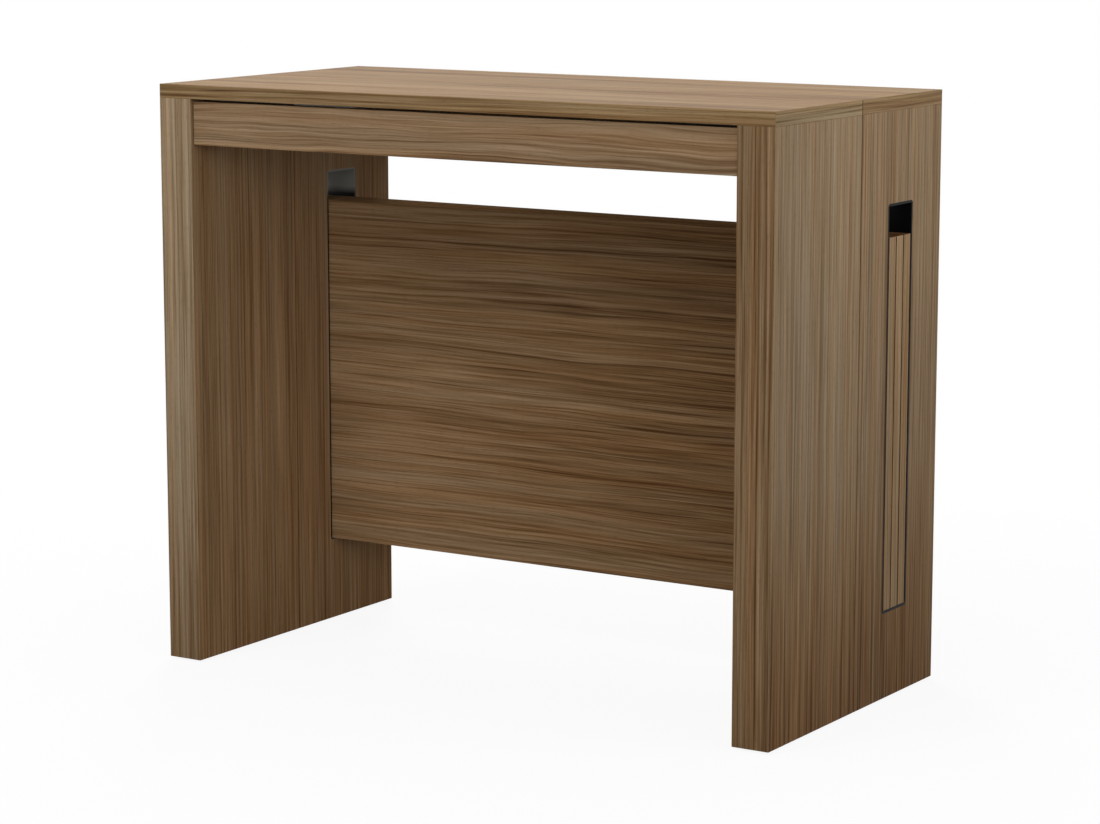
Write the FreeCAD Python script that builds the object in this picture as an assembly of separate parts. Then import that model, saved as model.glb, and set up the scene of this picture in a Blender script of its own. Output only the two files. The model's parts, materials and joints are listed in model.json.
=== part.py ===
import FreeCAD, Part

import os

# Console table that extends by three leaves, in millimetres.
# X runs along the table, Y from the front to the rear, Z up from the floor.
# The seam between the two halves lies on Y = 0.

# Overall size
WIDTH = 900.0
DEPTH = 440.0
HEIGHT = 760.0
BOARD = 18.0
LEG_THICKNESS = 50.0
SEAM_GAP = 1.2
ARRIS = 0.8

# Aprons under the tops
APRON_THICKNESS = 18.0
APRON_HEIGHT = 56.0
APRON_SETBACK = 4.0
APRON_REVEAL = 3.2

# Leaves, stored upright in slots whose middle lies a drop below the middle of the rear legs
LEAF_NAMES = ("front_leaf", "middle_leaf", "rear_leaf")
LEAF_WIDTH = 470.0
LEAF_GAP = 2.0
STORE_MIDDLE = 107.5
STORE_DROP = 2.1
FINGER_ROOM = 38.5

# Slot liners
LINER_WALL = 2.0
LINER_RIM = 3.0
LINER_RIM_DEPTH = 1.2
LINER_TOP_RADIUS = 1.5
LINER_FLOOR_RADIUS = 1.5
RIB_HEIGHT = 6.0

# Flat sides of pins, screws and their holes, and of discs
PIN_SIDES = 6
DISC_SIDES = 10

# Clearances: fixed pieces in their seats, pins in their holes, moving pieces
FIT = 0.2
PIN_FIT = 0.1
RUNNING = 0.3

# Telescopic slides, a lipped channel on the inner face and a T rib on the outer one
RAIL_COUNT = 6
RAIL_END_GAP = 4.0
RAIL_HEIGHT = 48.0
RAIL_WIDTH = 20.0
RAIL_WALL = 2.5
RAIL_SPACING = 1.0
RAIL_MOUTH = 14.0
STEM_HEIGHT = 8.0
HEAD_HEIGHT = 32.0
HEAD_THICKNESS = 4.0
HEAD_ROOM = 4.0
SHOE_CAP = 2.0
STOP_GAP = 0.4

# Cross ties of the middle stages
TIE_WIDTH = 30.0
TIE_THICKNESS = 3.0
TIE_PAD = 1.0
TIE_INSET = 35.0
TIE_PITCH = 42.0
RIVET_RADIUS = 2.0
RIVET_HEAD_RADIUS = 3.6
RIVET_CROWN_RADIUS = 2.2
RIVET_HEAD_HEIGHT = 1.6
RIVET_SPREAD = 16.0

# Screws of the rails
SCREW_RADIUS = 2.2
SCREW_HEAD_RADIUS = 4.2
SCREW_HEAD_HEIGHT = 2.2
SCREW_POINT_RADIUS = 0.5
LEG_SCREW_LENGTH = 35.0
SCREWS_PER_RAIL = 3
SCREW_SEAM_INSET = 15.0
SCREW_END_INSET = 43.0
ACCESS_RADIUS = 6.0

# Angle brackets of the front rails
BRACKET_LEG = 40.0
BRACKET_THICKNESS = 3.0
BRACKET_HEIGHT = 34.0
BRACKET_SCREW_INSET = 8.0
BRACKET_SCREW_PITCH = 16.0
BOLT_INSET = 16.0
BOLT_RADIUS = 3.0
BOLT_HEAD_RADIUS = 5.0
BOLT_HEAD_HEIGHT = 4.0
NUT_THICKNESS = 4.0
NUT_LENGTH = 16.0
NUT_HEIGHT = 24.0

# Dowels and cam fittings
HOLE_COVER = 6.0
DOWEL_RADIUS = 4.0
DOWEL_DEPTH = 18.0
DOWEL_INSET = 20.0
APRON_DOWEL_SPREAD = 36.0
APRON_BITE = 13.0
CAM_INSET = 44.0
CAM_RADIUS = 7.5
CAM_DEPTH = 12.5
CAM_OFFSET = 24.0
CAM_SLOT_LENGTH = 9.0
CAM_SLOT_WIDTH = 1.6
CAM_SLOT_DEPTH = 2.5
CAM_BOLT_RADIUS = 3.0
CAM_NECK_RADIUS = 1.8
CAM_NECK_START = 2.0
CAM_NECK_END = 6.0
LEG_BOLT_INSET = 7.0

# Floor glides
GLIDE_HEIGHT = 3.0
GLIDE_RADIUS = 11.0
GLIDE_BEVEL = 1.0
GLIDE_INSET = 30.0
GLIDE_PIN_RADIUS = 2.5
GLIDE_PIN_LENGTH = 14.0
GLIDE_POINT_RADIUS = 0.5

# Sizes that follow from those above
HALF_WIDTH = WIDTH / 2
HALF_DEPTH = DEPTH / 2
INNER = HALF_WIDTH - LEG_THICKNESS
LEG_MIDDLE = HALF_WIDTH - LEG_THICKNESS / 2
SEAM_EDGE = SEAM_GAP / 2
HALF_MIDDLE = (HALF_DEPTH + SEAM_EDGE) / 2
UNDERSIDE = HEIGHT - BOARD
TOP_BITE = BOARD - HOLE_COVER
APRON_TOP = UNDERSIDE - APRON_REVEAL
APRON_BOTTOM = APRON_TOP - APRON_HEIGHT
APRON_MIDDLE = (APRON_TOP + APRON_BOTTOM) / 2
APRON_FACE = HALF_DEPTH - APRON_SETBACK
APRON_BACK = APRON_FACE - APRON_THICKNESS
LEAF_COUNT = len(LEAF_NAMES)
LEAF_PITCH = BOARD + LEAF_GAP
STORE_WIDTH = LEAF_COUNT * LEAF_PITCH + LEAF_GAP
STORE_FRONT = STORE_MIDDLE - STORE_WIDTH / 2
STORE_HEIGHT = RUNNING + LEAF_WIDTH + FINGER_ROOM
STORE_FLOOR = (GLIDE_HEIGHT + UNDERSIDE - STORE_HEIGHT) / 2 - STORE_DROP
STORE_TOP = STORE_FLOOR + STORE_HEIGHT
LEAF_BASE = STORE_FLOOR + RUNNING
RIB_WIDTH = LEAF_GAP - 2 * FIT
RAIL_PITCH = RAIL_WIDTH + RAIL_SPACING
RAIL_BASE = UNDERSIDE - RUNNING - RAIL_HEIGHT
RAIL_AXIS = RAIL_BASE + RAIL_HEIGHT / 2
RAIL_END = APRON_BACK - RAIL_END_GAP - SHOE_CAP
RAIL_LENGTH = 2 * RAIL_END
HEAD_NEAR = RAIL_SPACING + RAIL_WALL + HEAD_ROOM
HEAD_FAR = HEAD_NEAR + HEAD_THICKNESS
STROKE = LEAF_COUNT * LEAF_WIDTH / (RAIL_COUNT - 1)
SHOE_LENGTH = (RAIL_LENGTH - STROKE - STOP_GAP) / 2
TIE_BASE = RAIL_BASE - TIE_PAD - TIE_THICKNESS

ORIGIN = FreeCAD.Vector(0, 0, 0)
X_AXIS = FreeCAD.Vector(1, 0, 0)
Y_AXIS = FreeCAD.Vector(0, 1, 0)
Z_AXIS = FreeCAD.Vector(0, 0, 1)


def at(x, y, z):
    return FreeCAD.Vector(x, y, z)


def to_left(shape):
    return shape.mirror(ORIGIN, X_AXIS)


def to_front(shape):
    return shape.mirror(ORIGIN, Y_AXIS)


def both_sides(shapes):
    return shapes + [to_left(shape) for shape in shapes]


def all_to_front(shapes):
    return [to_front(shape) for shape in shapes]


def board(low, high):
    """A board between two corners, with its edges eased."""
    size = high - low
    block = Part.makeBox(size.x, size.y, size.z, low)
    return block.makeChamfer(ARRIS, block.Edges).Solids[0]


def flat(outline):
    return Part.Face(Part.makePolygon(outline + outline[:1]))


def profile(outline, along):
    """A flat outline of points, drawn out along a vector."""
    return flat(outline).extrude(along)


def ring(radius, height, sides):
    """Corners of a level ring with flat sides."""
    turns = [FreeCAD.Rotation(Z_AXIS, 360 * (side + 0.5) / sides) for side in range(sides)]
    return [turn.multVec(at(radius, 0, height)) for turn in turns]


def turned(outline, sides, base, direction):
    """Rings of given radii and heights, joined by flat sides and stood on a base point."""
    rings = [ring(radius, height, sides) for radius, height in outline]
    faces = [flat(rings[0][::-1]), flat(rings[-1])]
    for low, high in zip(rings, rings[1:]):
        for side in range(sides):
            faces.append(flat([low[side - 1], low[side], high[side], high[side - 1]]))
    solid = Part.Solid(Part.Shell(faces))
    solid.Placement = FreeCAD.Placement(base, FreeCAD.Rotation(Z_AXIS, direction))
    return solid


def peg(radius, length, sides, base, direction):
    return turned([(radius, 0), (radius, length)], sides, base, direction)


def without(shape, cutters):
    return shape.cut(Part.makeCompound(cutters)).Solids[0]


# Joints of the boards, for the right end of the rear half


def end_places(inset):
    """Places an inset in from the seam and from the outer edge of a half."""
    return [SEAM_EDGE + inset, HALF_DEPTH - inset]


def dowel(joint, direction, bite, allowance):
    """A dowel across a joint, as deep in the far board as its bite."""
    length = DOWEL_DEPTH + bite + 2 * allowance
    base = joint - direction * (DOWEL_DEPTH + allowance)
    return peg(DOWEL_RADIUS + allowance, length, PIN_SIDES, base, direction)


def dowels(allowance):
    pieces = []
    for y in end_places(DOWEL_INSET) + [HALF_MIDDLE]:
        pieces.append(dowel(at(LEG_MIDDLE, y, UNDERSIDE), Z_AXIS, TOP_BITE, allowance))
    for z in (APRON_MIDDLE - APRON_DOWEL_SPREAD / 2, APRON_MIDDLE + APRON_DOWEL_SPREAD / 2):
        joint = at(INNER, APRON_BACK + APRON_THICKNESS / 2, z)
        pieces.append(dowel(joint, X_AXIS, APRON_BITE, allowance))
    return pieces


def cam_seats():
    """Face point, way in, way to the far board, depth of the bolt and its bite, for each cam."""
    seats = []
    for y in end_places(CAM_INSET):
        seats.append((at(INNER, y, UNDERSIDE - CAM_OFFSET), X_AXIS, Z_AXIS, LEG_BOLT_INSET, TOP_BITE))
    apron_point = at(INNER - CAM_OFFSET, APRON_BACK, APRON_MIDDLE)
    seats.append((apron_point, Y_AXIS, X_AXIS, APRON_THICKNESS / 2, APRON_BITE))
    return seats


def cam_disc(face, inward, toward, inset):
    """A cam disc with a driver slot in its face and a way in for the bolt."""
    across = inward.cross(toward)
    corner = face - across * (CAM_SLOT_LENGTH / 2) - toward * (CAM_SLOT_WIDTH / 2)
    far_corner = corner + across * CAM_SLOT_LENGTH
    slot = [corner, far_corner, far_corner + toward * CAM_SLOT_WIDTH, corner + toward * CAM_SLOT_WIDTH]
    cutters = [
        profile(slot, inward * CAM_SLOT_DEPTH),
        peg(CAM_BOLT_RADIUS + FIT, CAM_OFFSET, PIN_SIDES, face + inward * inset, toward),
    ]
    return without(peg(CAM_RADIUS, CAM_DEPTH, DISC_SIDES, face, inward), cutters)


def cam_bolt(start, toward, bite):
    """A bolt with a neck that the cam grips."""
    slope = CAM_BOLT_RADIUS - CAM_NECK_RADIUS
    outline = [
        (CAM_BOLT_RADIUS, 0),
        (CAM_BOLT_RADIUS, CAM_NECK_START),
        (CAM_NECK_RADIUS, CAM_NECK_START + slope),
        (CAM_NECK_RADIUS, CAM_NECK_END),
        (CAM_BOLT_RADIUS, CAM_NECK_END + slope),
        (CAM_BOLT_RADIUS, CAM_OFFSET + bite),
    ]
    return turned(outline, PIN_SIDES, start, toward)


def cams():
    pieces = []
    for face, inward, toward, inset, bite in cam_seats():
        pieces.append(cam_disc(face, inward, toward, inset))
        pieces.append(cam_bolt(face + inward * inset, toward, bite))
    return pieces


def cam_holes():
    cutters = []
    for face, inward, toward, inset, bite in cam_seats():
        cutters.append(peg(CAM_RADIUS + FIT, CAM_DEPTH + FIT, DISC_SIDES, face, inward))
        length = CAM_OFFSET + bite + FIT
        cutters.append(peg(CAM_BOLT_RADIUS + FIT, length, PIN_SIDES, face + inward * inset, toward))
    return cutters


def glide(y, allowance):
    """A floor glide: a bevelled disc with a pin up into the leg."""
    radius = GLIDE_PIN_RADIUS + allowance
    tip = GLIDE_HEIGHT + GLIDE_PIN_LENGTH + allowance
    outline = [
        (GLIDE_RADIUS - GLIDE_BEVEL, 0),
        (GLIDE_RADIUS, GLIDE_BEVEL),
        (GLIDE_RADIUS, GLIDE_HEIGHT),
        (radius, GLIDE_HEIGHT),
        (radius, tip - radius),
        (GLIDE_POINT_RADIUS + allowance, tip),
    ]
    return turned(outline, DISC_SIDES, at(LEG_MIDDLE, y, 0), Z_AXIS)


def glides(allowance):
    return [glide(y, allowance) for y in end_places(GLIDE_INSET)]


def joint_holes():
    return dowels(PIN_FIT) + cam_holes() + glides(PIN_FIT)


def leg():
    low = at(INNER, SEAM_EDGE, GLIDE_HEIGHT)
    return without(board(low, at(HALF_WIDTH, HALF_DEPTH, UNDERSIDE)), joint_holes())


def top():
    low = at(-HALF_WIDTH, SEAM_EDGE, UNDERSIDE)
    return without(board(low, at(HALF_WIDTH, HALF_DEPTH, HEIGHT)), both_sides(joint_holes()))


def apron():
    low = at(-INNER, APRON_BACK, APRON_BOTTOM)
    return without(board(low, at(INNER, APRON_FACE, APRON_TOP)), both_sides(joint_holes()))


# Leaf store


def rounded_bar(x_low, x_high, margin):
    """A bar along X that stands a margin outside the leaf store, round at its corners."""
    corner = at(x_low, STORE_FRONT - margin, STORE_FLOOR - margin)
    bar = Part.makeBox(x_high - x_low, STORE_WIDTH + 2 * margin, STORE_HEIGHT + 2 * margin, corner)
    long_edges = [edge for edge in bar.Edges if edge.BoundBox.XLength > x_high - x_low - FIT]
    upper = [edge for edge in long_edges if edge.BoundBox.ZMax > STORE_TOP - FIT]
    bar = bar.makeFillet(LINER_TOP_RADIUS + margin, upper)
    long_edges = [edge for edge in bar.Edges if edge.BoundBox.XLength > x_high - x_low - FIT]
    lower = [edge for edge in long_edges if edge.BoundBox.ZMax < STORE_FLOOR + FIT]
    return bar.makeFillet(LINER_FLOOR_RADIUS + margin, lower)


def slotted_leg():
    slot = rounded_bar(INNER - FIT, HALF_WIDTH + FIT, LINER_WALL + FIT)
    rebate = rounded_bar(HALF_WIDTH - LINER_RIM_DEPTH - FIT, HALF_WIDTH + FIT, LINER_RIM + FIT)
    return without(leg(), [slot, rebate])


def slot_liner():
    """A sleeve with a rim on the outside, and floor ribs that keep the leaves apart."""
    sleeve = rounded_bar(INNER, HALF_WIDTH, LINER_WALL)
    rim = rounded_bar(HALF_WIDTH - LINER_RIM_DEPTH, HALF_WIDTH, LINER_RIM)
    liner = sleeve.fuse(rim).cut(rounded_bar(INNER - FIT, HALF_WIDTH + FIT, 0))
    for number in range(1, LEAF_COUNT):
        y = STORE_FRONT + LEAF_GAP / 2 + number * LEAF_PITCH - RIB_WIDTH / 2
        corner = at(INNER, y, STORE_FLOOR - LINER_WALL / 2)
        liner = liner.fuse(Part.makeBox(LEG_THICKNESS, RIB_WIDTH, RIB_HEIGHT + LINER_WALL / 2, corner))
    return liner.removeSplitter().Solids[0]


def leaf(number):
    front = STORE_FRONT + LEAF_GAP + number * LEAF_PITCH
    low = at(-HALF_WIDTH, front, LEAF_BASE)
    return board(low, at(HALF_WIDTH, front + BOARD, LEAF_BASE + LEAF_WIDTH))


# Telescopic slides, for the right side


def rail_section(number, y, pairs):
    """Points of a section, from a rail's outer bottom corner inwards and upwards."""
    corner = at(INNER - RUNNING - number * RAIL_PITCH, y, RAIL_BASE)
    return [corner + at(-inwards, 0, upwards) for inwards, upwards in pairs]


def about_axis(height, allowance):
    reach = height / 2 + allowance
    return RAIL_HEIGHT / 2 - reach, RAIL_HEIGHT / 2 + reach


def channel_pairs():
    lip = RAIL_WIDTH - RAIL_WALL
    roof = RAIL_HEIGHT - RAIL_WALL
    mouth_low, mouth_high = about_axis(RAIL_MOUTH, 0)
    return [
        (0, 0),
        (RAIL_WIDTH, 0),
        (RAIL_WIDTH, mouth_low),
        (lip, mouth_low),
        (lip, RAIL_WALL),
        (RAIL_WALL, RAIL_WALL),
        (RAIL_WALL, roof),
        (lip, roof),
        (lip, mouth_high),
        (RAIL_WIDTH, mouth_high),
        (RAIL_WIDTH, RAIL_HEIGHT),
        (0, RAIL_HEIGHT),
    ]


def rib_pairs():
    stem_low, stem_high = about_axis(STEM_HEIGHT, 0)
    head_low, head_high = about_axis(HEAD_HEIGHT, 0)
    return [
        (0, stem_high),
        (-HEAD_NEAR, stem_high),
        (-HEAD_NEAR, head_high),
        (-HEAD_FAR, head_high),
        (-HEAD_FAR, head_low),
        (-HEAD_NEAR, head_low),
        (-HEAD_NEAR, stem_low),
        (0, stem_low),
    ]


def rail(number):
    """A rail of full length. The first one lies flat on the leg and has no rib."""
    pairs = channel_pairs()
    if number > 0:
        pairs = pairs + rib_pairs()
    return profile(rail_section(number, -RAIL_END, pairs), Y_AXIS * RAIL_LENGTH)


def notched_pairs(margin, allowance):
    """A block a margin inside a rail's outline, with a way through for the next rail's rib."""
    stem_low, stem_high = about_axis(STEM_HEIGHT, allowance)
    head_low, head_high = about_axis(HEAD_HEIGHT, allowance)
    near = RAIL_PITCH - HEAD_NEAR + allowance
    far = RAIL_PITCH - HEAD_FAR - allowance
    side = RAIL_WIDTH - margin
    return [
        (margin, margin),
        (side, margin),
        (side, stem_low),
        (near, stem_low),
        (near, head_low),
        (far, head_low),
        (far, head_high),
        (near, head_high),
        (near, stem_high),
        (side, stem_high),
        (side, RAIL_HEIGHT - margin),
        (margin, RAIL_HEIGHT - margin),
    ]


def block_pairs(margin):
    side = RAIL_WIDTH - margin
    roof = RAIL_HEIGHT - margin
    return [(margin, margin), (side, margin), (side, roof), (margin, roof)]


def front_shoe(number):
    """A shoe fixed in the front of a rail's channel, round the next rail's rib, with a cap on the end."""
    body = profile(rail_section(number, -RAIL_END, notched_pairs(RAIL_WALL, RUNNING)), Y_AXIS * SHOE_LENGTH)
    cap = profile(rail_section(number, -RAIL_END, notched_pairs(0, RUNNING)), Y_AXIS * -SHOE_CAP)
    return body.fuse(cap).removeSplitter().Solids[0]


def rear_shoe(number):
    """A shoe fixed on the rear of a rail's rib, that runs in the channel of the rail before it."""
    margin = RAIL_WALL + RUNNING
    body = profile(rail_section(number - 1, RAIL_END, notched_pairs(margin, 0)), Y_AXIS * -SHOE_LENGTH)
    cap = profile(rail_section(number - 1, RAIL_END, block_pairs(margin)), Y_AXIS * SHOE_CAP)
    return body.fuse(cap).removeSplitter().Solids[0]


def countersunk_screw(base, direction, length, allowance):
    radius = SCREW_RADIUS + allowance
    outline = [
        (SCREW_HEAD_RADIUS + allowance, 0),
        (radius, SCREW_HEAD_HEIGHT),
        (radius, length - radius),
        (SCREW_POINT_RADIUS + allowance, length + allowance),
    ]
    return turned(outline, PIN_SIDES, base, direction)


def headed_screw(base, direction, length, allowance):
    radius = SCREW_RADIUS + allowance
    outline = [
        (SCREW_HEAD_RADIUS, -SCREW_HEAD_HEIGHT),
        (SCREW_HEAD_RADIUS, 0),
        (radius, 0),
        (radius, length - radius),
        (SCREW_POINT_RADIUS + allowance, length + allowance),
    ]
    return turned(outline, PIN_SIDES, base, direction)


def rail_screw_places():
    """Places along the half of a rail that lies in its own half of the table."""
    first = SEAM_EDGE + SCREW_SEAM_INSET
    step = (RAIL_END - SCREW_END_INSET - first) / (SCREWS_PER_RAIL - 1)
    return [first + number * step for number in range(SCREWS_PER_RAIL)]


def leg_screws(allowance):
    """Screws from the first rail's channel into the rear leg, sunk level with the web."""
    x = INNER - RUNNING - RAIL_WALL
    bases = [at(x, y, RAIL_AXIS) for y in rail_screw_places()]
    return [countersunk_screw(base, X_AXIS, LEG_SCREW_LENGTH, allowance) for base in bases]


def last_rail_middle():
    return INNER - RUNNING - (RAIL_COUNT - 1) * RAIL_PITCH - RAIL_WIDTH / 2


def top_screws(allowance):
    """Screws from the last rail's channel up into the front top."""
    length = RAIL_WALL + RUNNING + TOP_BITE
    z = RAIL_BASE + RAIL_HEIGHT - RAIL_WALL
    bases = [at(last_rail_middle(), y, z) for y in rail_screw_places()]
    return [headed_screw(base, Z_AXIS, length, allowance) for base in bases]


def access_holes():
    bases = [at(last_rail_middle(), y, RAIL_BASE) for y in rail_screw_places()]
    return [peg(ACCESS_RADIUS, RAIL_WALL, PIN_SIDES, base, Z_AXIS) for base in bases]


def bracket_corner():
    return at(last_rail_middle() - RAIL_WIDTH / 2, APRON_BACK, RAIL_AXIS - BRACKET_HEIGHT / 2)


def bolt_place():
    return APRON_BACK - BRACKET_LEG + BOLT_INSET


def bracket_screws(allowance):
    pieces = []
    far_end = bracket_corner().x - BRACKET_LEG
    for x in (far_end + BRACKET_SCREW_INSET, far_end + BRACKET_SCREW_INSET + BRACKET_SCREW_PITCH):
        base = at(x, APRON_BACK - BRACKET_THICKNESS, RAIL_AXIS)
        pieces.append(headed_screw(base, Y_AXIS, BRACKET_THICKNESS + TOP_BITE, allowance))
    return pieces


def bracket_bolt(allowance):
    """A bolt through the bracket and the rail's mouth into the slot nut."""
    radius = BOLT_RADIUS + allowance
    length = BRACKET_THICKNESS + RAIL_WALL + NUT_THICKNESS
    outline = [
        (BOLT_HEAD_RADIUS, -BOLT_HEAD_HEIGHT),
        (BOLT_HEAD_RADIUS, 0),
        (radius, 0),
        (radius, length),
    ]
    corner = bracket_corner()
    base = at(corner.x - BRACKET_THICKNESS, bolt_place(), RAIL_AXIS)
    return turned(outline, PIN_SIDES, base, X_AXIS)


def slot_nut():
    corner = at(bracket_corner().x + RAIL_WALL, bolt_place() - NUT_LENGTH / 2, RAIL_AXIS - NUT_HEIGHT / 2)
    block = Part.makeBox(NUT_THICKNESS, NUT_LENGTH, NUT_HEIGHT, corner)
    return without(block, [bracket_bolt(PIN_FIT)])


def bracket():
    """An angle bracket between the last rail and the apron."""
    corner = bracket_corner()
    outline = [
        corner,
        corner + at(-BRACKET_LEG, 0, 0),
        corner + at(-BRACKET_LEG, -BRACKET_THICKNESS, 0),
        corner + at(-BRACKET_THICKNESS, -BRACKET_THICKNESS, 0),
        corner + at(-BRACKET_THICKNESS, -BRACKET_LEG, 0),
        corner + at(0, -BRACKET_LEG, 0),
    ]
    holes = bracket_screws(PIN_FIT) + [bracket_bolt(PIN_FIT)]
    return without(profile(outline, Z_AXIS * BRACKET_HEIGHT), holes)


def tie_rivets(number, allowance):
    x = INNER - RUNNING - number * RAIL_PITCH - RAIL_WIDTH / 2
    middle = RAIL_END - TIE_INSET - (number - 1) * TIE_PITCH
    radius = RIVET_RADIUS + allowance
    length = TIE_THICKNESS + TIE_PAD + RAIL_WALL - PIN_FIT + 2 * allowance
    outline = [
        (RIVET_CROWN_RADIUS, -RIVET_HEAD_HEIGHT),
        (RIVET_HEAD_RADIUS, 0),
        (radius, 0),
        (radius, length),
    ]
    places = (middle - RIVET_SPREAD / 2, middle + RIVET_SPREAD / 2)
    return [turned(outline, PIN_SIDES, at(x, y, TIE_BASE), Z_AXIS) for y in places]


def cross_tie(number):
    """A flat bar from side to side, with raised pads under the rails of its own stage."""
    outer = INNER - RUNNING - number * RAIL_PITCH - RAIL_SPACING
    pad = outer - RAIL_WIDTH + 2 * RAIL_SPACING
    floor = TIE_BASE + TIE_THICKNESS
    y = RAIL_END - TIE_INSET - (number - 1) * TIE_PITCH - TIE_WIDTH / 2
    outline = [
        at(-outer, y, TIE_BASE),
        at(outer, y, TIE_BASE),
        at(outer, y, RAIL_BASE),
        at(pad, y, RAIL_BASE),
        at(pad, y, floor),
        at(-pad, y, floor),
        at(-pad, y, RAIL_BASE),
        at(-outer, y, RAIL_BASE),
    ]
    return without(profile(outline, Y_AXIS * TIE_WIDTH), both_sides(tie_rivets(number, PIN_FIT)))


# The assembly, node by node


def rear_half():
    leg_right = without(slotted_leg(), leg_screws(PIN_FIT))
    liner = slot_liner()
    rail_right = without(rail(0), leg_screws(PIN_FIT))
    return {
        "rear_top": [top()],
        "rear_left_leg": [to_left(leg_right)],
        "rear_right_leg": [leg_right],
        "rear_apron": [apron()],
        "left_slot_liner": [to_left(liner)],
        "right_slot_liner": [liner],
        "rear_left_rail": [to_left(rail_right)],
        "rear_right_rail": [rail_right],
        "rear_rail_shoes": both_sides([front_shoe(0)]),
        "rear_rail_screws": both_sides(leg_screws(0)),
        "rear_dowels": both_sides(dowels(0)),
        "rear_cam_fittings": both_sides(cams()),
        "rear_glides": both_sides(glides(0)),
    }


def front_half():
    last = RAIL_COUNT - 1
    leg_right = to_front(leg())
    rail_right = to_front(without(rail(last), top_screws(PIN_FIT) + access_holes()))
    fixings = bracket_screws(0) + [bracket_bolt(0), slot_nut()]
    return {
        "front_top": [to_front(without(top(), both_sides(top_screws(PIN_FIT))))],
        "front_left_leg": [to_left(leg_right)],
        "front_right_leg": [leg_right],
        "front_apron": [to_front(without(apron(), both_sides(bracket_screws(PIN_FIT))))],
        "front_left_rail": [to_left(rail_right)],
        "front_right_rail": [rail_right],
        "front_rail_shoes": both_sides([rear_shoe(last)]),
        "front_rail_screws": both_sides(all_to_front(top_screws(0))),
        "front_rail_brackets": both_sides([to_front(bracket())]),
        "front_bracket_fixings": both_sides(all_to_front(fixings)),
        "front_dowels": both_sides(all_to_front(dowels(0))),
        "front_cam_fittings": both_sides(all_to_front(cams())),
        "front_glides": both_sides(all_to_front(glides(0))),
    }


def slide_stage(number):
    rail_right = without(rail(number), tie_rivets(number, PIN_FIT))
    name = f"slide_{number}"
    return {
        f"{name}_left_rail": [to_left(rail_right)],
        f"{name}_right_rail": [rail_right],
        f"{name}_cross_tie": [cross_tie(number)],
        f"{name}_front_shoes": both_sides([front_shoe(number)]),
        f"{name}_rear_shoes": both_sides([rear_shoe(number)]),
        f"{name}_tie_rivets": both_sides(tie_rivets(number, 0)),
    }


def table():
    nodes = rear_half()
    nodes.update(front_half())
    for number in range(1, RAIL_COUNT - 1):
        nodes.update(slide_stage(number))
    for number, name in enumerate(LEAF_NAMES):
        nodes[name] = [leaf(number)]
    return nodes


os.makedirs("parts", exist_ok=True)
for node, solids in table().items():
    Part.makeCompound(solids).exportStep(f"parts/{node}.step")
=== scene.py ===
"""Looks of an extending console table: faced boards, telescopic slides, fixings, studio light and camera."""

import json
import logging
import math
import random
from dataclasses import dataclass, fields
from enum import Enum
from typing import Any, Mapping, Sequence

import bmesh
import bpy
from mathutils import Matrix, Vector

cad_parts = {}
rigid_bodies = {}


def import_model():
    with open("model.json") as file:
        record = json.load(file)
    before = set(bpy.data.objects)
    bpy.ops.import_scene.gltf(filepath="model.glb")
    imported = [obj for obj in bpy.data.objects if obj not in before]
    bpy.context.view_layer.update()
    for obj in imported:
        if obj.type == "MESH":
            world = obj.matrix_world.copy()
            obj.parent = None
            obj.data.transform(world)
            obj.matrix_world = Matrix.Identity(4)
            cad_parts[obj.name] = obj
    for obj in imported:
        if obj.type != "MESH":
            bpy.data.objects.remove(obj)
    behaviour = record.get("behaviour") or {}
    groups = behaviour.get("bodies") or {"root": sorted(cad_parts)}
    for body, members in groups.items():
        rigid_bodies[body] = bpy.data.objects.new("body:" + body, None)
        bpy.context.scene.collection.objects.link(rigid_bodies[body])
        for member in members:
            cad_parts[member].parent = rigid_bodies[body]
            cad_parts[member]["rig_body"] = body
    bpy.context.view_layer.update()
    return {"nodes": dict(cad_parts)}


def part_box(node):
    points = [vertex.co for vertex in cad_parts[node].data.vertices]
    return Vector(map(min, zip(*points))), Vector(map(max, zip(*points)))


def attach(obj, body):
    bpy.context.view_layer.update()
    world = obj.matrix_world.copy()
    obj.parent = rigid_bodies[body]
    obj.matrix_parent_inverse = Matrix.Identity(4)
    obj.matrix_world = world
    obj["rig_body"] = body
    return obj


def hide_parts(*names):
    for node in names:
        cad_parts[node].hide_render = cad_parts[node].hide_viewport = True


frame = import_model()

LOG = logging.getLogger("console_table")
SLIDE_STAGES = 4

# What the meshes carry for their finishes and fixings
GRAIN_MAP = "grain"
AXIS_ATTRIBUTE = "axis"

# The length of pattern, in metres, that the faces of boards are scattered over
PATTERN_ROOM = 40.0

# How meshes are welded, rounded and shaded
WELD = 1e-6
ARRIS_STEPS = 3
ROUND_PROFILE = 0.5
SHARP_ANGLE = math.radians(35)
QUARTER_TURN = math.pi / 2
HEXAGON = 6

# Sockets that are taken by number, because a node has several of one name
MIX_FIRST = 6
MIX_SECOND = 7
MIX_RESULT = 2
RANDOM_LOW = 2
RANDOM_HIGH = 3
RANDOM_RESULT = 1

# The middle of noise, and the range that most of it keeps to
NOISE_MIDDLE = 0.5
NOISE_RANGE = (0.30, 0.70)

WHITE = (1.0, 1.0, 1.0)

Colour = tuple[float, float, float]
Point = tuple[float, float, float]
Span = tuple[float, float]
Box = tuple[Vector, Vector]


class Grain(Enum):
    """The axis that the grain of a face runs along."""

    X = 0
    Y = 1
    Z = 2


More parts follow.
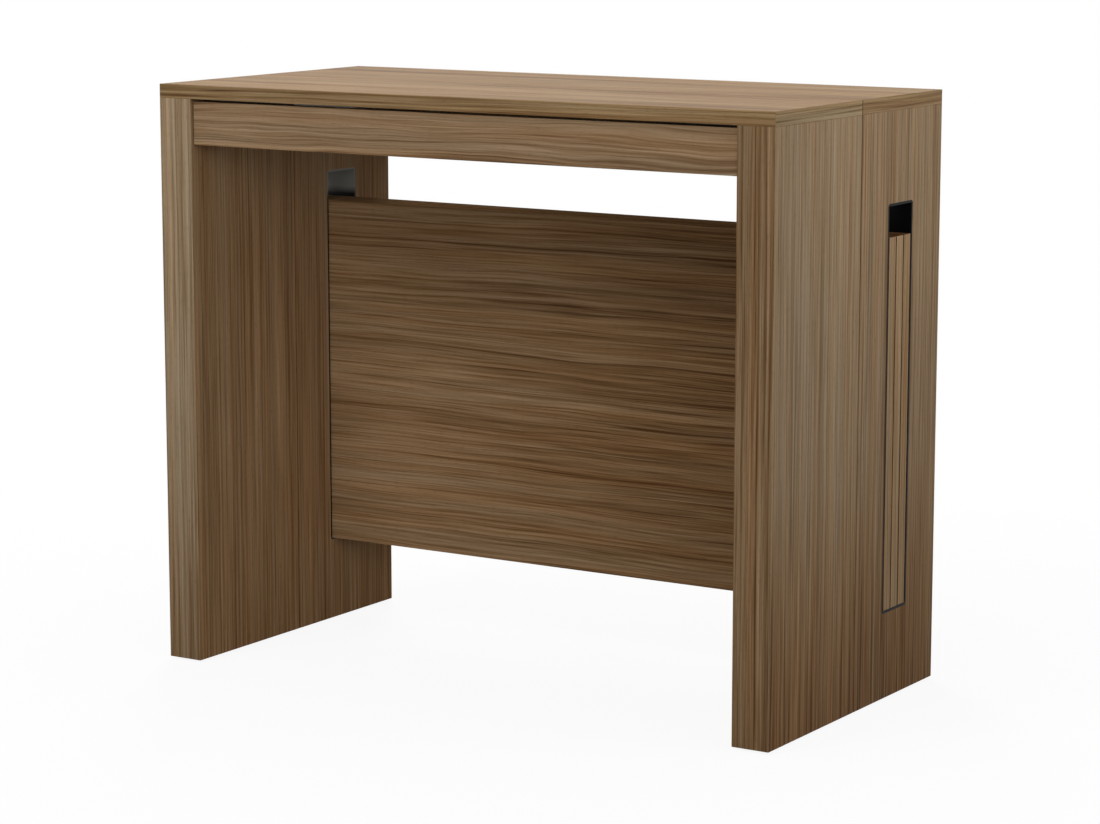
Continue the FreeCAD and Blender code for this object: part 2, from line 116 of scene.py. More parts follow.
class Face(Enum):
    """A side that something looks to, as an axis and a sign."""

    LEFT = (0, -1)
    RIGHT = (0, 1)
    FRONT = (1, -1)
    REAR = (1, 1)
    UNDER = (2, -1)
    UPPER = (2, 1)

    def way(self) -> Vector:
        """The side as a direction.

        Returns:
            A vector of length 1.
        """
        axis, sign = self.value
        way = Vector((0.0, 0.0, 0.0))
        way[axis] = sign
        return way

    def opposite(self) -> "Face":
        """The side across from this one."""
        axis, sign = self.value
        return Face((axis, -sign))


class Side(Enum):
    """An end of the table, with the sign of its X."""

    LEFT = -1
    RIGHT = 1


class Drive(Enum):
    """The recess in the head of a fixing."""

    NONE = "none"
    CROSS = "cross"
    HEX = "hex"


class Head(Enum):
    """The form of a fixing's head."""

    TAPER = "taper"
    DOME = "dome"


Site = tuple[Box, Face]


@dataclass(frozen=True)
class Shade:
    """How much paler and warmer a face is than its board, with what is added to both towards the floor.

    Partly board-to-board variation and partly painted light and shade, set for how each face is lit;
    what is added towards the floor is painted shade.
    """

    tone: float = 0.0
    warmth: float = 0.0
    foot_tone: float = 0.0
    foot_warmth: float = 0.0


@dataclass(frozen=True)
class Wire:
    """An output of a node, with arithmetic that adds Math nodes."""

    sheet: "Sheet"
    socket: bpy.types.NodeSocket

    def __add__(self, other: "Wire | float") -> "Wire":
        """The sum of two values."""
        return self.sheet.maths("ADD", self, other)

    def __radd__(self, other: float) -> "Wire":
        """The sum of a number and a value."""
        return self.sheet.maths("ADD", other, self)

    def __sub__(self, other: "Wire | float") -> "Wire":
        """The difference of two values."""
        return self.sheet.maths("SUBTRACT", self, other)

    def __rsub__(self, other: float) -> "Wire":
        """A number less a value."""
        return self.sheet.maths("SUBTRACT", other, self)

    def __mul__(self, other: "Wire | float") -> "Wire":
        """The product of two values."""
        return self.sheet.maths("MULTIPLY", self, other)

    def __rmul__(self, other: float) -> "Wire":
        """The product of a number and a value."""
        return self.sheet.maths("MULTIPLY", other, self)

    def __truediv__(self, other: "Wire | float") -> "Wire":
        """The quotient of two values."""
        return self.sheet.maths("DIVIDE", self, other)

    def __rtruediv__(self, other: float) -> "Wire":
        """A number divided by a value."""
        return self.sheet.maths("DIVIDE", other, self)

    def __abs__(self) -> "Wire":
        """A value without its sign."""
        return self.sheet.maths("ABSOLUTE", self, 0.0)


class Sheet:
    """A node tree under construction."""

    def __init__(self, tree: bpy.types.NodeTree) -> None:
        """Takes the tree and empties it."""
        self.tree = tree
        tree.nodes.clear()

    def node(
        self,
        kind: str,
        settings: Mapping[str, Any] | None = None,
        inputs: Mapping[str | int, Any] | None = None,
        output: str | int = 0,
    ) -> Wire:
        """Adds a node, its settings first and its sockets after them.

        Args:
            kind: the node's type.
            settings: its properties, where stops are a ramp's places and colours.
            inputs: a value, a wire or a list of wires for each socket, by name or number.
            output: the output that is handed back.

        Returns:
            A wire from that output.
        """
        made = self.tree.nodes.new(kind)
        for key, value in (settings or {}).items():
            if key == "stops":
                self._set_stops(made.color_ramp, value)
            else:
                setattr(made, key, value)
        for key, value in (inputs or {}).items():
            wires = value if isinstance(value, list) else [value]
            for wire in wires:
                if isinstance(wire, Wire):
                    self.tree.links.new(wire.socket, made.inputs[key])
                else:
                    made.inputs[key].default_value = wire
        return Wire(self, made.outputs[output] if made.outputs else None)

    @staticmethod
    def _set_stops(ramp: bpy.types.ColorRamp, stops: Sequence[tuple[float, Colour]]) -> None:
        """Gives a ramp its stops.

        Args:
            ramp: the ramp.
            stops: places from 0 to 1 in order, each with its colour.
        """
        while len(ramp.elements) < len(stops):
            ramp.elements.new(1.0)
        for element, (place, colour) in zip(ramp.elements, stops):
            element.position = place
            element.color = (*colour, 1.0)

    def maths(self, operation: str, first: Wire | float, second: Wire | float) -> Wire:
        """Adds a Math node of two values."""
        return self.node("ShaderNodeMath", {"operation": operation}, {0: first, 1: second})

    def spread(self, value: Wire, low: float, high: float) -> Wire:
        """Stretches a range of a value over 0 to 1, with the rest cut off."""
        return self.node("ShaderNodeMapRange", {"clamp": True}, {0: value, 1: low, 2: high})

    def blend(self, share: Wire | float, first: Any, second: Any, way: str = "MIX") -> Wire:
        """Mixes two colours.

        Args:
            share: how much of the second colour there is.
            first: a colour or a wire.
            second: a colour or a wire.
            way: the blend mode.

        Returns:
            The mixed colour.
        """
        colours = [value if isinstance(value, Wire) else (*value, 1.0) for value in (first, second)]
        settings = {"data_type": "RGBA", "blend_type": way, "clamp_factor": False}
        inputs = {0: share, MIX_FIRST: colours[0], MIX_SECOND: colours[1]}
        return self.node("ShaderNodeMix", settings, inputs, MIX_RESULT)

    def grain_place(self) -> tuple[Wire, Wire]:
        """Reads the grain map.

        Returns:
            Lengths along and across the grain, in metres.
        """
        places = self.node("ShaderNodeUVMap", {"uv_map": GRAIN_MAP})
        along = self.node("ShaderNodeSeparateXYZ", None, {0: places}, "X")
        return along, Wire(self, along.socket.node.outputs["Y"])

    def object_place(self) -> tuple[Wire, Wire, Wire]:
        """Reads the object's own coordinates.

        Returns:
            Lengths along its axes, in metres.
        """
        places = self.node("ShaderNodeTexCoord", None, None, "Object")
        first = self.node("ShaderNodeSeparateXYZ", None, {0: places}, "X")
        outputs = first.socket.node.outputs
        return first, Wire(self, outputs["Y"]), Wire(self, outputs["Z"])

    def face_value(self, name: str) -> Wire:
        """A value that the faces of a mesh hold."""
        return self.node("ShaderNodeAttribute", {"attribute_name": name}, None, "Fac")

    def noise(self, place: Sequence[Wire | float], detail: float, roughness: float) -> Wire:
        """Smooth noise of a place given in pitches.

        Args:
            place: three values, each a length divided by its pitch.
            detail: how many finer layers are added.
            roughness: how strong the finer layers are.

        Returns:
            A value about the middle of noise.
        """
        vector = self.node("ShaderNodeCombineXYZ", None, dict(enumerate(place)))
        inputs = {"Vector": vector, "Scale": 1.0, "Detail": detail, "Roughness": roughness}
        return self.node("ShaderNodeTexNoise", None, inputs)

    def relief(self, height: Wire, depth: float, strength: float) -> Wire:
        """Bumps of a given depth in metres."""
        return self.node("ShaderNodeBump", None, {"Height": height, "Distance": depth, "Strength": strength})

    def surface(self, inputs: Mapping[str, Any]) -> None:
        """Ends a material in one surface shader."""
        shader = self.node("ShaderNodeBsdfPrincipled", None, inputs)
        self.node("ShaderNodeOutputMaterial", None, {"Surface": shader})


def new_material(name: str) -> tuple[bpy.types.Material, Sheet]:
    """Starts a material.

    Args:
        name: its name.

    Returns:
        The material and the sheet of its nodes.
    """
    material = bpy.data.materials.new(name)
    material.use_nodes = True
    return material, Sheet(material.node_tree)


@dataclass(frozen=True)
class GrainNoise:
    """Noise drawn out along the grain of a board, from a slice of its own."""

    length: float
    width: float
    level: float
    detail: float = 2.0
    roughness: float = 0.5

    def at(self, sheet: Sheet, along: Wire, across: Wire) -> Wire:
        """The noise at a place on a face."""
        place = (along / self.length, across / self.width, self.level)
        return sheet.noise(place, self.detail, self.roughness)


@dataclass(frozen=True)
class SpaceNoise:
    """Noise in space, with a pitch along each axis of the object."""

    pitches: tuple[float, float, float]
    detail: float = 2.0
    roughness: float = 0.5

    def at(self, sheet: Sheet, place: Sequence[Wire]) -> Wire:
        """The noise at a place in the object."""
        steps = [part / pitch for part, pitch in zip(place, self.pitches)]
        return sheet.noise(steps, self.detail, self.roughness)


@dataclass(frozen=True)
class Walnut:
    """A walnut-look faced board: soft bands, uneven growth lines, streaks and fibres along the grain.

    Lengths are in metres. A share says how far a layer of the figure moves the tone. The drift is painted
    light that darkens the board along X, and the end strip values are painted shade that darkens a strip
    of its faces beside each end, so that the gaps between stacked boards look dark.
    """

    name: str
    colours: tuple[Colour, ...]
    places: tuple[float, ...] = (0.07, 0.35, 0.63, 0.98)
    place_scale: float = 0.70
    level: float = 0.56
    wander: float = 0.006
    sway: GrainNoise = GrainNoise(length=0.45, width=0.09, level=1.0)
    bands: GrainNoise = GrainNoise(length=1.10, width=0.036, level=2.0, detail=4.0, roughness=0.6)
    band_share: float = 0.40
    streaks: GrainNoise = GrainNoise(length=0.55, width=0.0042, level=8.0, detail=3.0, roughness=0.6)
    streak_share: float = 0.52
    fibres: GrainNoise = GrainNoise(length=0.11, width=0.0015, level=4.0)
    fibre_share: float = 0.44
    ring_pitch: float = 0.0095
    ring_jitter: float = 4.5
    ring_rise: Span = (0.30, 0.88)
    ring_fall: Span = (1.0, 0.86)
    ring_share: float = 0.46
    jitter: GrainNoise = GrainNoise(length=1.8, width=0.022, level=3.0, detail=4.0, roughness=0.6)
    strength: GrainNoise = GrainNoise(length=0.50, width=0.008, level=7.0, detail=3.0)
    strength_range: Span = (0.36, 0.66)
    faintest: float = 0.20
    pores: GrainNoise = GrainNoise(length=0.012, width=0.0006, level=5.0, detail=1.0)
    pore_range: Span = (0.62, 0.74)
    pore_share: float = 0.50
    hue: GrainNoise = GrainNoise(length=0.60, width=0.020, level=6.0, detail=1.0)
    hue_range: Span = (0.35, 0.65)
    hue_least: float = 0.15
    hue_share: float = 0.70
    warm: Colour = (1.06, 0.98, 0.90)
    cool: Colour = (0.95, 1.00, 1.07)
    foot_height: float = 0.30
    drift: float = 0.0
    board_end: float = 0.0
    end_band: float = 0.003
    end_inset: float = 0.001
    end_share: float = 0.0
    roughness: float = 0.44
    ring_dulling: float = 0.08
    pore_dulling: float = 0.12
    fibre_gloss: float = 0.06
    sheen: float = 0.16
    fibre_relief: float = 0.5
    ring_relief: float = 0.5
    pore_relief: float = 0.6
    relief_depth: float = 0.00012
    relief_strength: float = 0.35

    def growth_lines(self, sheet: Sheet, along: Wire, across: Wire) -> Wire:
        """Lines that darken slowly and end sharply, at uneven distances and in uneven strength.

        Args:
            sheet: the material's sheet.
            along: length along the grain.
            across: length across the grain, already wandering.

        Returns:
            A value of 1 in the darkest part of a line.
        """
        jitter = self.jitter.at(sheet, along, across)
        phase = sheet.maths("FRACT", across / self.ring_pitch + jitter * self.ring_jitter, 0.0)
        rise = sheet.spread(phase, *self.ring_rise)
        fall = sheet.spread(phase, *self.ring_fall)
        strength = sheet.spread(self.strength.at(sheet, along, across), *self.strength_range)
        return rise * rise * fall * (self.faintest + strength * (1.0 - self.faintest))

    def board_shade(self, sheet: Sheet) -> tuple[Wire, Wire]:
        """How the board's tone changes from face to face and from place to place, painted light and shade
        included.

        Args:
            sheet: the material's sheet.

        Returns:
            What is added to the tone and to the warmth.
        """
        x, _, z = sheet.object_place()
        # Painted shade: below the foot height the faces grow darker and warmer towards the floor
        foot = sheet.spread(z, self.foot_height, 0.0)
        # Painted shade: a strip of the faces beside each end is darkened
        ends = sheet.spread(abs(x), self.board_end - self.end_band, self.board_end - self.end_inset)
        tone = sheet.face_value("tone") + foot * sheet.face_value("foot_tone")
        warmth = sheet.face_value("warmth") + foot * sheet.face_value("foot_warmth")
        # Painted light: the drift darkens the board steadily along X
        return tone - x * self.drift - ends * self.end_share, warmth

    def material(self) -> bpy.types.Material:
        """Builds the finish from noise stretched along the grain.

        Returns:
            The material.
        """
        material, sheet = new_material(self.name)
        along, width = sheet.grain_place()
        sway = self.sway.at(sheet, along, width)
        across = width + (sway - NOISE_MIDDLE) * self.wander
        bands, streaks, fibres = [
            sheet.spread(layer.at(sheet, along, across), *NOISE_RANGE) - NOISE_MIDDLE
            for layer in (self.bands, self.streaks, self.fibres)
        ]
        pores = sheet.spread(self.pores.at(sheet, along, across), *self.pore_range)
        hue = sheet.spread(self.hue.at(sheet, along, across), *self.hue_range)
        rings = self.growth_lines(sheet, along, across)
        tone, warmth = self.board_shade(sheet)
        tone = self.level + tone + bands * self.band_share + streaks * self.streak_share
        tone = tone + fibres * self.fibre_share - rings * self.ring_share
        stops = list(zip(self.places, self.colours))
        colour = sheet.node("ShaderNodeValToRGB", {"stops": stops}, {0: tone * self.place_scale})
        tint = sheet.blend(self.hue_least + hue * self.hue_share + warmth, self.cool, self.warm)
        colour = sheet.blend(1.0, colour, tint, "MULTIPLY")
        dulling = rings * self.ring_dulling + pores * self.pore_dulling - fibres * self.fibre_gloss
        height = fibres * self.fibre_relief - rings * self.ring_relief - pores * self.pore_relief
        sheet.surface({
            "Base Color": sheet.blend(pores * self.pore_share, colour, self.colours[0]),
            "Roughness": self.roughness + dulling,
            "Specular IOR Level": self.sheen,
            "Normal": sheet.relief(height, self.relief_depth, self.relief_strength),
        })
        return material


@dataclass(frozen=True)
class Extrusion:
    """Satin anodised aluminium with fine die lines along Y, with painted shade at both ends: near black, not
    metal.
    """

    name: str
    bar_end: float
    dip: float = 0.026
    dip_edge: float = 0.0004
    dip_dulling: float = 0.12
    plastic: Colour = (0.012, 0.012, 0.013)
    colour: Colour = (0.47, 0.48, 0.49)
    cloudy: Colour = (0.38, 0.39, 0.41)
    lines: SpaceNoise = SpaceNoise((0.0005, 0.5, 0.0005), detail=3.0)
    line_shade: float = 0.86
    line_dulling: float = 0.22
    clouds: SpaceNoise = SpaceNoise((0.03, 0.08, 0.03), detail=3.0)
    cloud_range: Span = (0.35, 0.70)
    cloud_share: float = 0.18
    cloud_dulling: float = 0.16
    roughness: float = 0.34
    relief_depth: float = 0.00003
    relief_strength: float = 0.4

    def material(self) -> bpy.types.Material:
        """Builds the finish from lines drawn along the bar.

        Returns:
            The material.
        """
        material, sheet = new_material(self.name)
        place = sheet.object_place()
        lines = self.lines.at(sheet, place)
        clouds = self.clouds.at(sheet, place)
        dark = tuple(self.line_shade * part for part in self.colour)
        drawn = sheet.blend(sheet.spread(lines, *NOISE_RANGE), dark, self.colour)
        misted = sheet.blend(sheet.spread(clouds, *self.cloud_range) * self.cloud_share, drawn, self.cloudy)
        # Painted shade: near black and not metal over the last stretch at each end
        shaded_end_line = self.bar_end - self.dip
        end_shade_share = sheet.spread(abs(place[1]), shaded_end_line, shaded_end_line + self.dip_edge)
        dulling = (lines - NOISE_MIDDLE) * self.line_dulling + (clouds - NOISE_MIDDLE) * self.cloud_dulling
        sheet.surface({
            "Base Color": sheet.blend(end_shade_share, misted, self.plastic),
            "Metallic": 1.0 - end_shade_share,
            "Roughness": self.roughness + dulling + end_shade_share * self.dip_dulling,
            "Normal": sheet.relief(lines, self.relief_depth, self.relief_strength),
        })
        return material


@dataclass(frozen=True)
class Moulded:
    """Moulded plastic with a fine spark texture and rubbed spots; painted light makes it paler above a
    height.
    """

    name: str
    colour: Colour
    rubbed: Colour
    roughness: float = 0.42
    gloss: float = 0.5
    texture: SpaceNoise = SpaceNoise((0.0006, 0.0006, 0.0006))
    texture_dulling: float = 0.2
    wear: SpaceNoise = SpaceNoise((0.02, 0.02, 0.02), detail=4.0, roughness=0.6)
    wear_range: Span = (0.55, 0.80)
    wear_share: float = 0.6
    wear_gloss: float = 0.08
    # Painted light: above this height the plastic is painted paler
    hand_height: float | None = None
    hand_band: float = 0.010
    handled: Colour = (0.265, 0.256, 0.232)
    relief_depth: float = 0.00004
    relief_strength: float = 0.5

    def material(self) -> bpy.types.Material:
        """Builds the finish from a fine even texture.

        Returns:
            The material.
        """
        material, sheet = new_material(self.name)
        place = sheet.object_place()
        texture = self.texture.at(sheet, place)
        worn = sheet.spread(self.wear.at(sheet, place), *self.wear_range)
        colour = sheet.blend(worn * self.wear_share, self.colour, self.rubbed)
        # Painted light: paler above the given height
        if self.hand_height is not None:
            painted_light_share = sheet.spread(place[2], self.hand_height, self.hand_height + self.hand_band)
            colour = sheet.blend(painted_light_share, colour, self.handled)
        dulling = (texture - NOISE_MIDDLE) * self.texture_dulling - worn * self.wear_gloss
        sheet.surface({
            "Base Color": colour,
            "Roughness": self.roughness + dulling,
            "Specular IOR Level": self.gloss,
            "Normal": sheet.relief(texture, self.relief_depth, self.relief_strength),
        })
        return material


@dataclass(frozen=True)
class Plated:
    """Zinc plated steel with a cloudy passivated film."""

    name: str
    colour: Colour = (0.44, 0.45, 0.44)
    film: Colour = (0.46, 0.43, 0.34)
    clouds: SpaceNoise = SpaceNoise((0.012, 0.012, 0.012), detail=4.0, roughness=0.6)
    cloud_range: Span = (0.40, 0.70)
    cloud_share: float = 0.7
    cloud_dulling: float = 0.3
    rolled: SpaceNoise = SpaceNoise((0.06, 0.0006, 0.0006))
    rolled_dulling: float = 0.12
    roughness: float = 0.36
    relief_depth: float = 0.00003
    relief_strength: float = 0.3

    def material(self) -> bpy.types.Material:
        """Builds the finish from clouds and rolling lines.

        Returns:
            The material.
        """
        material, sheet = new_material(self.name)
        place = sheet.object_place()
        clouds = self.clouds.at(sheet, place)
        rolled = self.rolled.at(sheet, place)
        filmed = sheet.spread(clouds, *self.cloud_range) * self.cloud_share
        dulling = (clouds - NOISE_MIDDLE) * self.cloud_dulling + (rolled - NOISE_MIDDLE) * self.rolled_dulling
        sheet.surface({
            "Base Color": sheet.blend(filmed, self.colour, self.film),
            "Metallic": 1.0,
            "Roughness": self.roughness + dulling,
            "Normal": sheet.relief(rolled, self.relief_depth, self.relief_strength),
        })
        return material


@dataclass(frozen=True)
class Beech:
    """Bare turned beech with short flecks."""

    name: str
    colour: Colour = (0.60, 0.42, 0.25)
    fleck: Colour = (0.38, 0.23, 0.12)
    lines: SpaceNoise = SpaceNoise((0.0016, 0.0016, 0.02))
    line_start: float = 0.3
    line_share: float = 0.5
    line_dulling: float = 0.2
    flecks: SpaceNoise = SpaceNoise((0.0006, 0.0006, 0.003), detail=1.0)
    fleck_range: Span = (0.62, 0.72)
    fleck_share: float = 0.6
    roughness: float = 0.62
    relief_depth: float = 0.0001
    relief_strength: float = 0.4

    def material(self) -> bpy.types.Material:
        """Builds the finish from flecks and soft lines.

        Returns:
            The material.
        """
        material, sheet = new_material(self.name)
        place = sheet.object_place()
        lines = self.lines.at(sheet, place)
        flecks = sheet.spread(self.flecks.at(sheet, place), *self.fleck_range)
        colour = sheet.blend((lines - self.line_start) * self.line_share, self.colour, self.fleck)
        sheet.surface({
            "Base Color": sheet.blend(flecks * self.fleck_share, colour, self.fleck),
            "Roughness": self.roughness + (lines - NOISE_MIDDLE) * self.line_dulling,
            "Normal": sheet.relief(lines, self.relief_depth, self.relief_strength),
        })
        return material


class Palette:
    """The finishes of the table, each built once."""

    STAIN = (
        (0.100, 0.050, 0.021), (0.233, 0.139, 0.067), (0.352, 0.236, 0.133), (0.500, 0.357, 0.216))
    TOP_STAIN = (
        (0.100, 0.050, 0.021), (0.233, 0.139, 0.062), (0.352, 0.238, 0.120), (0.500, 0.360, 0.190))
    # Partly the liners' own dark plastic and partly painted shade: near black, so the slots' insides look
    # dark
    BLACK = (0.004, 0.004, 0.004)
    WORN_BLACK = (0.008, 0.008, 0.008)
    HAND_GAP = 0.004

    def __init__(self) -> None:
        """Builds every material."""
        leaf_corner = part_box("front_leaf")[1]
        bar_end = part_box("front_left_rail")[1].y
        self.top = Walnut(
            "walnut_top", self.TOP_STAIN, level=0.69, wander=0.012, band_share=0.68, streak_share=0.62,
            sheen=0.04).material()
        self.panel = Walnut(
            "walnut_panel", self.STAIN, wander=0.005, streak_share=0.64, sheen=0.02).material()
        # Painted light: the apron and the leaves darken along X by their drift
        self.apron = Walnut(
            "walnut_apron", self.STAIN, wander=0.030, sway=GrainNoise(length=0.30, width=0.09, level=1.0),
            drift=0.20).material()
        # Painted shade: the leaves darken beside their ends, so the gaps between them look dark
        self.leaf = Walnut(
            "walnut_leaf", self.STAIN, level=0.61, wander=0.020, sheen=0.0, drift=0.50,
            board_end=leaf_corner.x, end_share=0.60).material()
        self.alloy = Extrusion("satin_extrusion", bar_end).material()
        self.liner_black = Moulded(
            "liner_black", self.BLACK, self.WORN_BLACK, roughness=0.34, gloss=0.05).material()
        # The left liner is a lit copy of the right one: painted light above the leaves, with more gloss
        self.liner_handled = Moulded(
            "liner_handled", self.BLACK, self.WORN_BLACK, roughness=0.34, gloss=0.12,
            hand_height=leaf_corner.z + self.HAND_GAP).material()
        self.nylon = Moulded(
            "shoe_nylon", (0.012, 0.012, 0.013), (0.040, 0.040, 0.040), roughness=0.48).material()
        self.glide = Moulded(
            "glide_plastic", (0.050, 0.036, 0.028), (0.110, 0.088, 0.070), roughness=0.5).material()
        self.zinc = Plated("zinc_plate").material()
        self.beech = Beech("turned_beech").material()


def dress_node(node: str, material: bpy.types.Material) -> None:
    """Gives a node that stays as it is its finish.

    Args:
        node: the node.
        material: its finish.
    """
    materials = frame["nodes"][node].data.materials
    materials.clear()
    materials.append(material)
    LOG.info("dressed %s", node)


def add_piece(name: str, mesh: bpy.types.Mesh, material: bpy.types.Material, node: str) -> None:
    """Stands a finished mesh for a node.

    Args:
        name: the new piece's name.
        mesh: its mesh, in place.
        material: its finish.
        node: the node that it stands for.
    """
    mesh.materials.clear()
    mesh.materials.append(material)
    piece = bpy.data.objects.new(name, mesh)
    bpy.context.scene.collection.objects.link(piece)
    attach(piece, frame["nodes"][node]["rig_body"])
    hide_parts(node)
    LOG.info("made %s with %d faces", name, len(mesh.polygons))


def mesh_from(shell: bmesh.types.BMesh, name: str) -> bpy.types.Mesh:
    """Turns a finished shell into a mesh and frees it.

    Args:
        shell: the shell.
        name: the mesh's name.

    Returns:
        The mesh.
    """
    mesh = bpy.data.meshes.new(name)
    shell.to_mesh(mesh)
    shell.free()
    return mesh


def carved(mesh: bpy.types.Mesh, cutters: Sequence[bpy.types.Mesh]) -> bpy.types.Mesh:
    """Cuts meshes out of a mesh.

    Args:
        mesh: the mesh that is cut.
        cutters: closed meshes that are taken away.

    Returns:
        A new plain mesh, or the same one where nothing is cut.
    """
    if not cutters:
        return mesh
    scene = bpy.context.scene
    holders = [bpy.data.objects.new("carving", mesh)]
    holders += [bpy.data.objects.new("cutter", cutter) for cutter in cutters]
    for holder in holders:
        scene.collection.objects.link(holder)
    for cutter in holders[1:]:
        cut = holders[0].modifiers.new("cut", "BOOLEAN")
        cut.operation = "DIFFERENCE"
        cut.solver = "EXACT"
        cut.object = cutter
    depsgraph = bpy.context.evaluated_depsgraph_get()
    result = bpy.data.meshes.new_from_object(holders[0].evaluated_get(depsgraph))
    for holder in holders:
        bpy.data.objects.remove(holder)
    return result


def board_mesh(box: Box, arris: float) -> bpy.types.Mesh:
    """A board with softly rounded edges.

    Args:
        box: its lowest and highest corners.
        arris: the radius of its edges.

    Returns:
        Its mesh.
    """
    low, high = box
    shell = bmesh.new()
    place = Matrix.Translation((low + high) / 2) @ Matrix.Diagonal((*(high - low), 1.0))
    bmesh.ops.create_cube(shell, size=1.0, matrix=place)
    bmesh.ops.bevel(
        shell, geom=shell.edges[:], offset=arris, segments=ARRIS_STEPS, profile=ROUND_PROFILE, affect="EDGES")
    return mesh_from(shell, "board")


def rounded_bar(box: Box, top_radius: float, floor_radius: float, steps: int = 8) -> bpy.types.Mesh:
    """A bar along X whose section is a rectangle with round corners.

    Args:
        box: its lowest and highest corners.
        top_radius: the radius of its upper corners.
        floor_radius: the radius of its lower corners.
        steps: the number of edges round each corner.

    Returns:
        Its mesh.
    """
    low, high = box
    corners = [
        (high.y - top_radius, high.z - top_radius, top_radius),
        (low.y + top_radius, high.z - top_radius, top_radius),
        (low.y + floor_radius, low.z + floor_radius, floor_radius),
        (high.y - floor_radius, low.z + floor_radius, floor_radius),
    ]
    shell = bmesh.new()
    section = []
    for number, (y, z, radius) in enumerate(corners):
        for step in range(steps + 1):
            angle = QUARTER_TURN * (number + step / steps)
            point = (low.x, y + radius * math.cos(angle), z + radius * math.sin(angle))
            section.append(shell.verts.new(point))
    face = shell.faces.new(section)
    swept = bmesh.ops.extrude_face_region(shell, geom=[face])
    moved = [part for part in swept["geom"] if isinstance(part, bmesh.types.BMVert)]
    bmesh.ops.translate(shell, verts=moved, vec=(high.x - low.x, 0.0, 0.0))
    bmesh.ops.recalc_face_normals(shell, faces=shell.faces[:])
    return mesh_from(shell, "bar")


def lay_grain(
    mesh: bpy.types.Mesh, grain: Grain, ends: Grain, seed: str, shades: Mapping[Face, Shade],
) -> None:
    """Maps each face so that its first coordinate runs along the grain, in metres, and gives it a shade.

    Args:
        mesh: the board's mesh.
        grain: the axis of the grain.
        ends: the axis of the grain on faces that look along the first one.
        seed: a word that shifts the pattern of each face.
        shades: how the faces to each side differ from the board.
    """
    shifts = random.Random(seed)
    places = {side: (shifts.uniform(0, PATTERN_ROOM), shifts.uniform(0, PATTERN_ROOM)) for side in Face}
    shell = bmesh.new()
    shell.from_mesh(mesh)
    layer = shell.loops.layers.uv.new(GRAIN_MAP)
    names = [field.name for field in fields(Shade)]
    for name in names:
        shell.faces.layers.float.new(name)
    values = {name: shell.faces.layers.float[name] for name in names}
    for face in shell.faces:
        axis = max(range(3), key=lambda number: abs(face.normal[number]))
        along = ends.value if axis == grain.value else grain.value
        # The numbers of the three axes add up to 3
        across = 3 - axis - along
        side = Face((axis, 1 if face.normal[axis] > 0 else -1))
        first, second = places[side]
        shade = shades.get(side, Shade())
        for name, value in values.items():
            face[value] = getattr(shade, name)
        for loop in face.loops:
            loop[layer].uv = (loop.vert.co[along] + first, loop.vert.co[across] + second)
    shell.to_mesh(mesh)
    shell.free()


def solid_boxes(node: str) -> list[Box]:
    """Finds the separate solids of a node.

    Args:
        node: the node.

    Returns:
        The box of each solid, in the order of the node's mesh.
    """
    shell = bmesh.new()
    shell.from_mesh(frame["nodes"][node].data)
    bmesh.ops.remove_doubles(shell, verts=shell.verts[:], dist=WELD)
    shell.verts.index_update()
    boxes = []
    seen: set[int] = set()
    for start in shell.verts:
        if start.index in seen:
            continue
        seen.add(start.index)
        island = [start]
        for vert in island:
            for edge in vert.link_edges:
                other = edge.other_vert(vert)
                if other.index not in seen:
                    seen.add(other.index)
                    island.append(other)
        low = Vector(min(vert.co[axis] for vert in island) for axis in range(3))
        high = Vector(max(vert.co[axis] for vert in island) for axis in range(3))
        boxes.append((low, high))
    shell.free()
    return boxes


def joined(meshes: Sequence[bpy.types.Mesh]) -> bpy.types.Mesh:
    """Joins meshes into one.

    Args:
        meshes: the meshes.

    Returns:
        The whole mesh.
    """
    shell = bmesh.new()
    for mesh in meshes:
        shell.from_mesh(mesh)
    whole = mesh_from(shell, "joined")
    whole.set_sharp_from_angle(angle=SHARP_ANGLE)
    return whole


def length_along(box: Box, look: Face) -> float:
    """The length of a box along the axis of a side."""
    axis, _ = look.value
    return box[1][axis] - box[0][axis]


def head_place(box: Box, look: Face) -> Vector:
    """The middle of the end of a box that looks to a side."""
    low, high = box
    return (low + high) / 2 + look.way() * (length_along(box, look) / 2)


def inward(box: Box) -> Face:
    """The side of a box that looks to the middle of the table's length."""
    return Face.RIGHT if box[0].x < 0 else Face.LEFT


def new_tree(name: str, inputs: Mapping[str, str]) -> tuple[Sheet, dict[str, Wire]]:
    """Starts a geometry tree.

    Args:
        name: the tree's name.
        inputs: the type of each named input.

    Returns:
        The sheet of its nodes and a wire from each input.
    """
    tree = bpy.data.node_groups.new(name, "GeometryNodeTree")
    for label, kind in inputs.items():
        tree.interface.new_socket(label, in_out="INPUT", socket_type=kind)
    tree.interface.new_socket("Geometry", in_out="OUTPUT", socket_type="NodeSocketGeometry")
    sheet = Sheet(tree)
    source = sheet.node("NodeGroupInput").socket.node
    return sheet, {label: Wire(sheet, source.outputs[label]) for label in inputs}


def end_tree(sheet: Sheet, geometry: Wire, material: Wire) -> None:
    """Ends a geometry tree in real geometry with its material.

    Args:
        sheet: the sheet of the tree's nodes.
        geometry: what the tree made.
        material: its finish.
    """
    real = sheet.node("GeometryNodeRealizeInstances", None, {"Geometry": geometry})
    dressed = sheet.node("GeometryNodeSetMaterial", None, {"Geometry": real, "Material": material})
    sheet.node("NodeGroupOutput", None, {"Geometry": dressed})


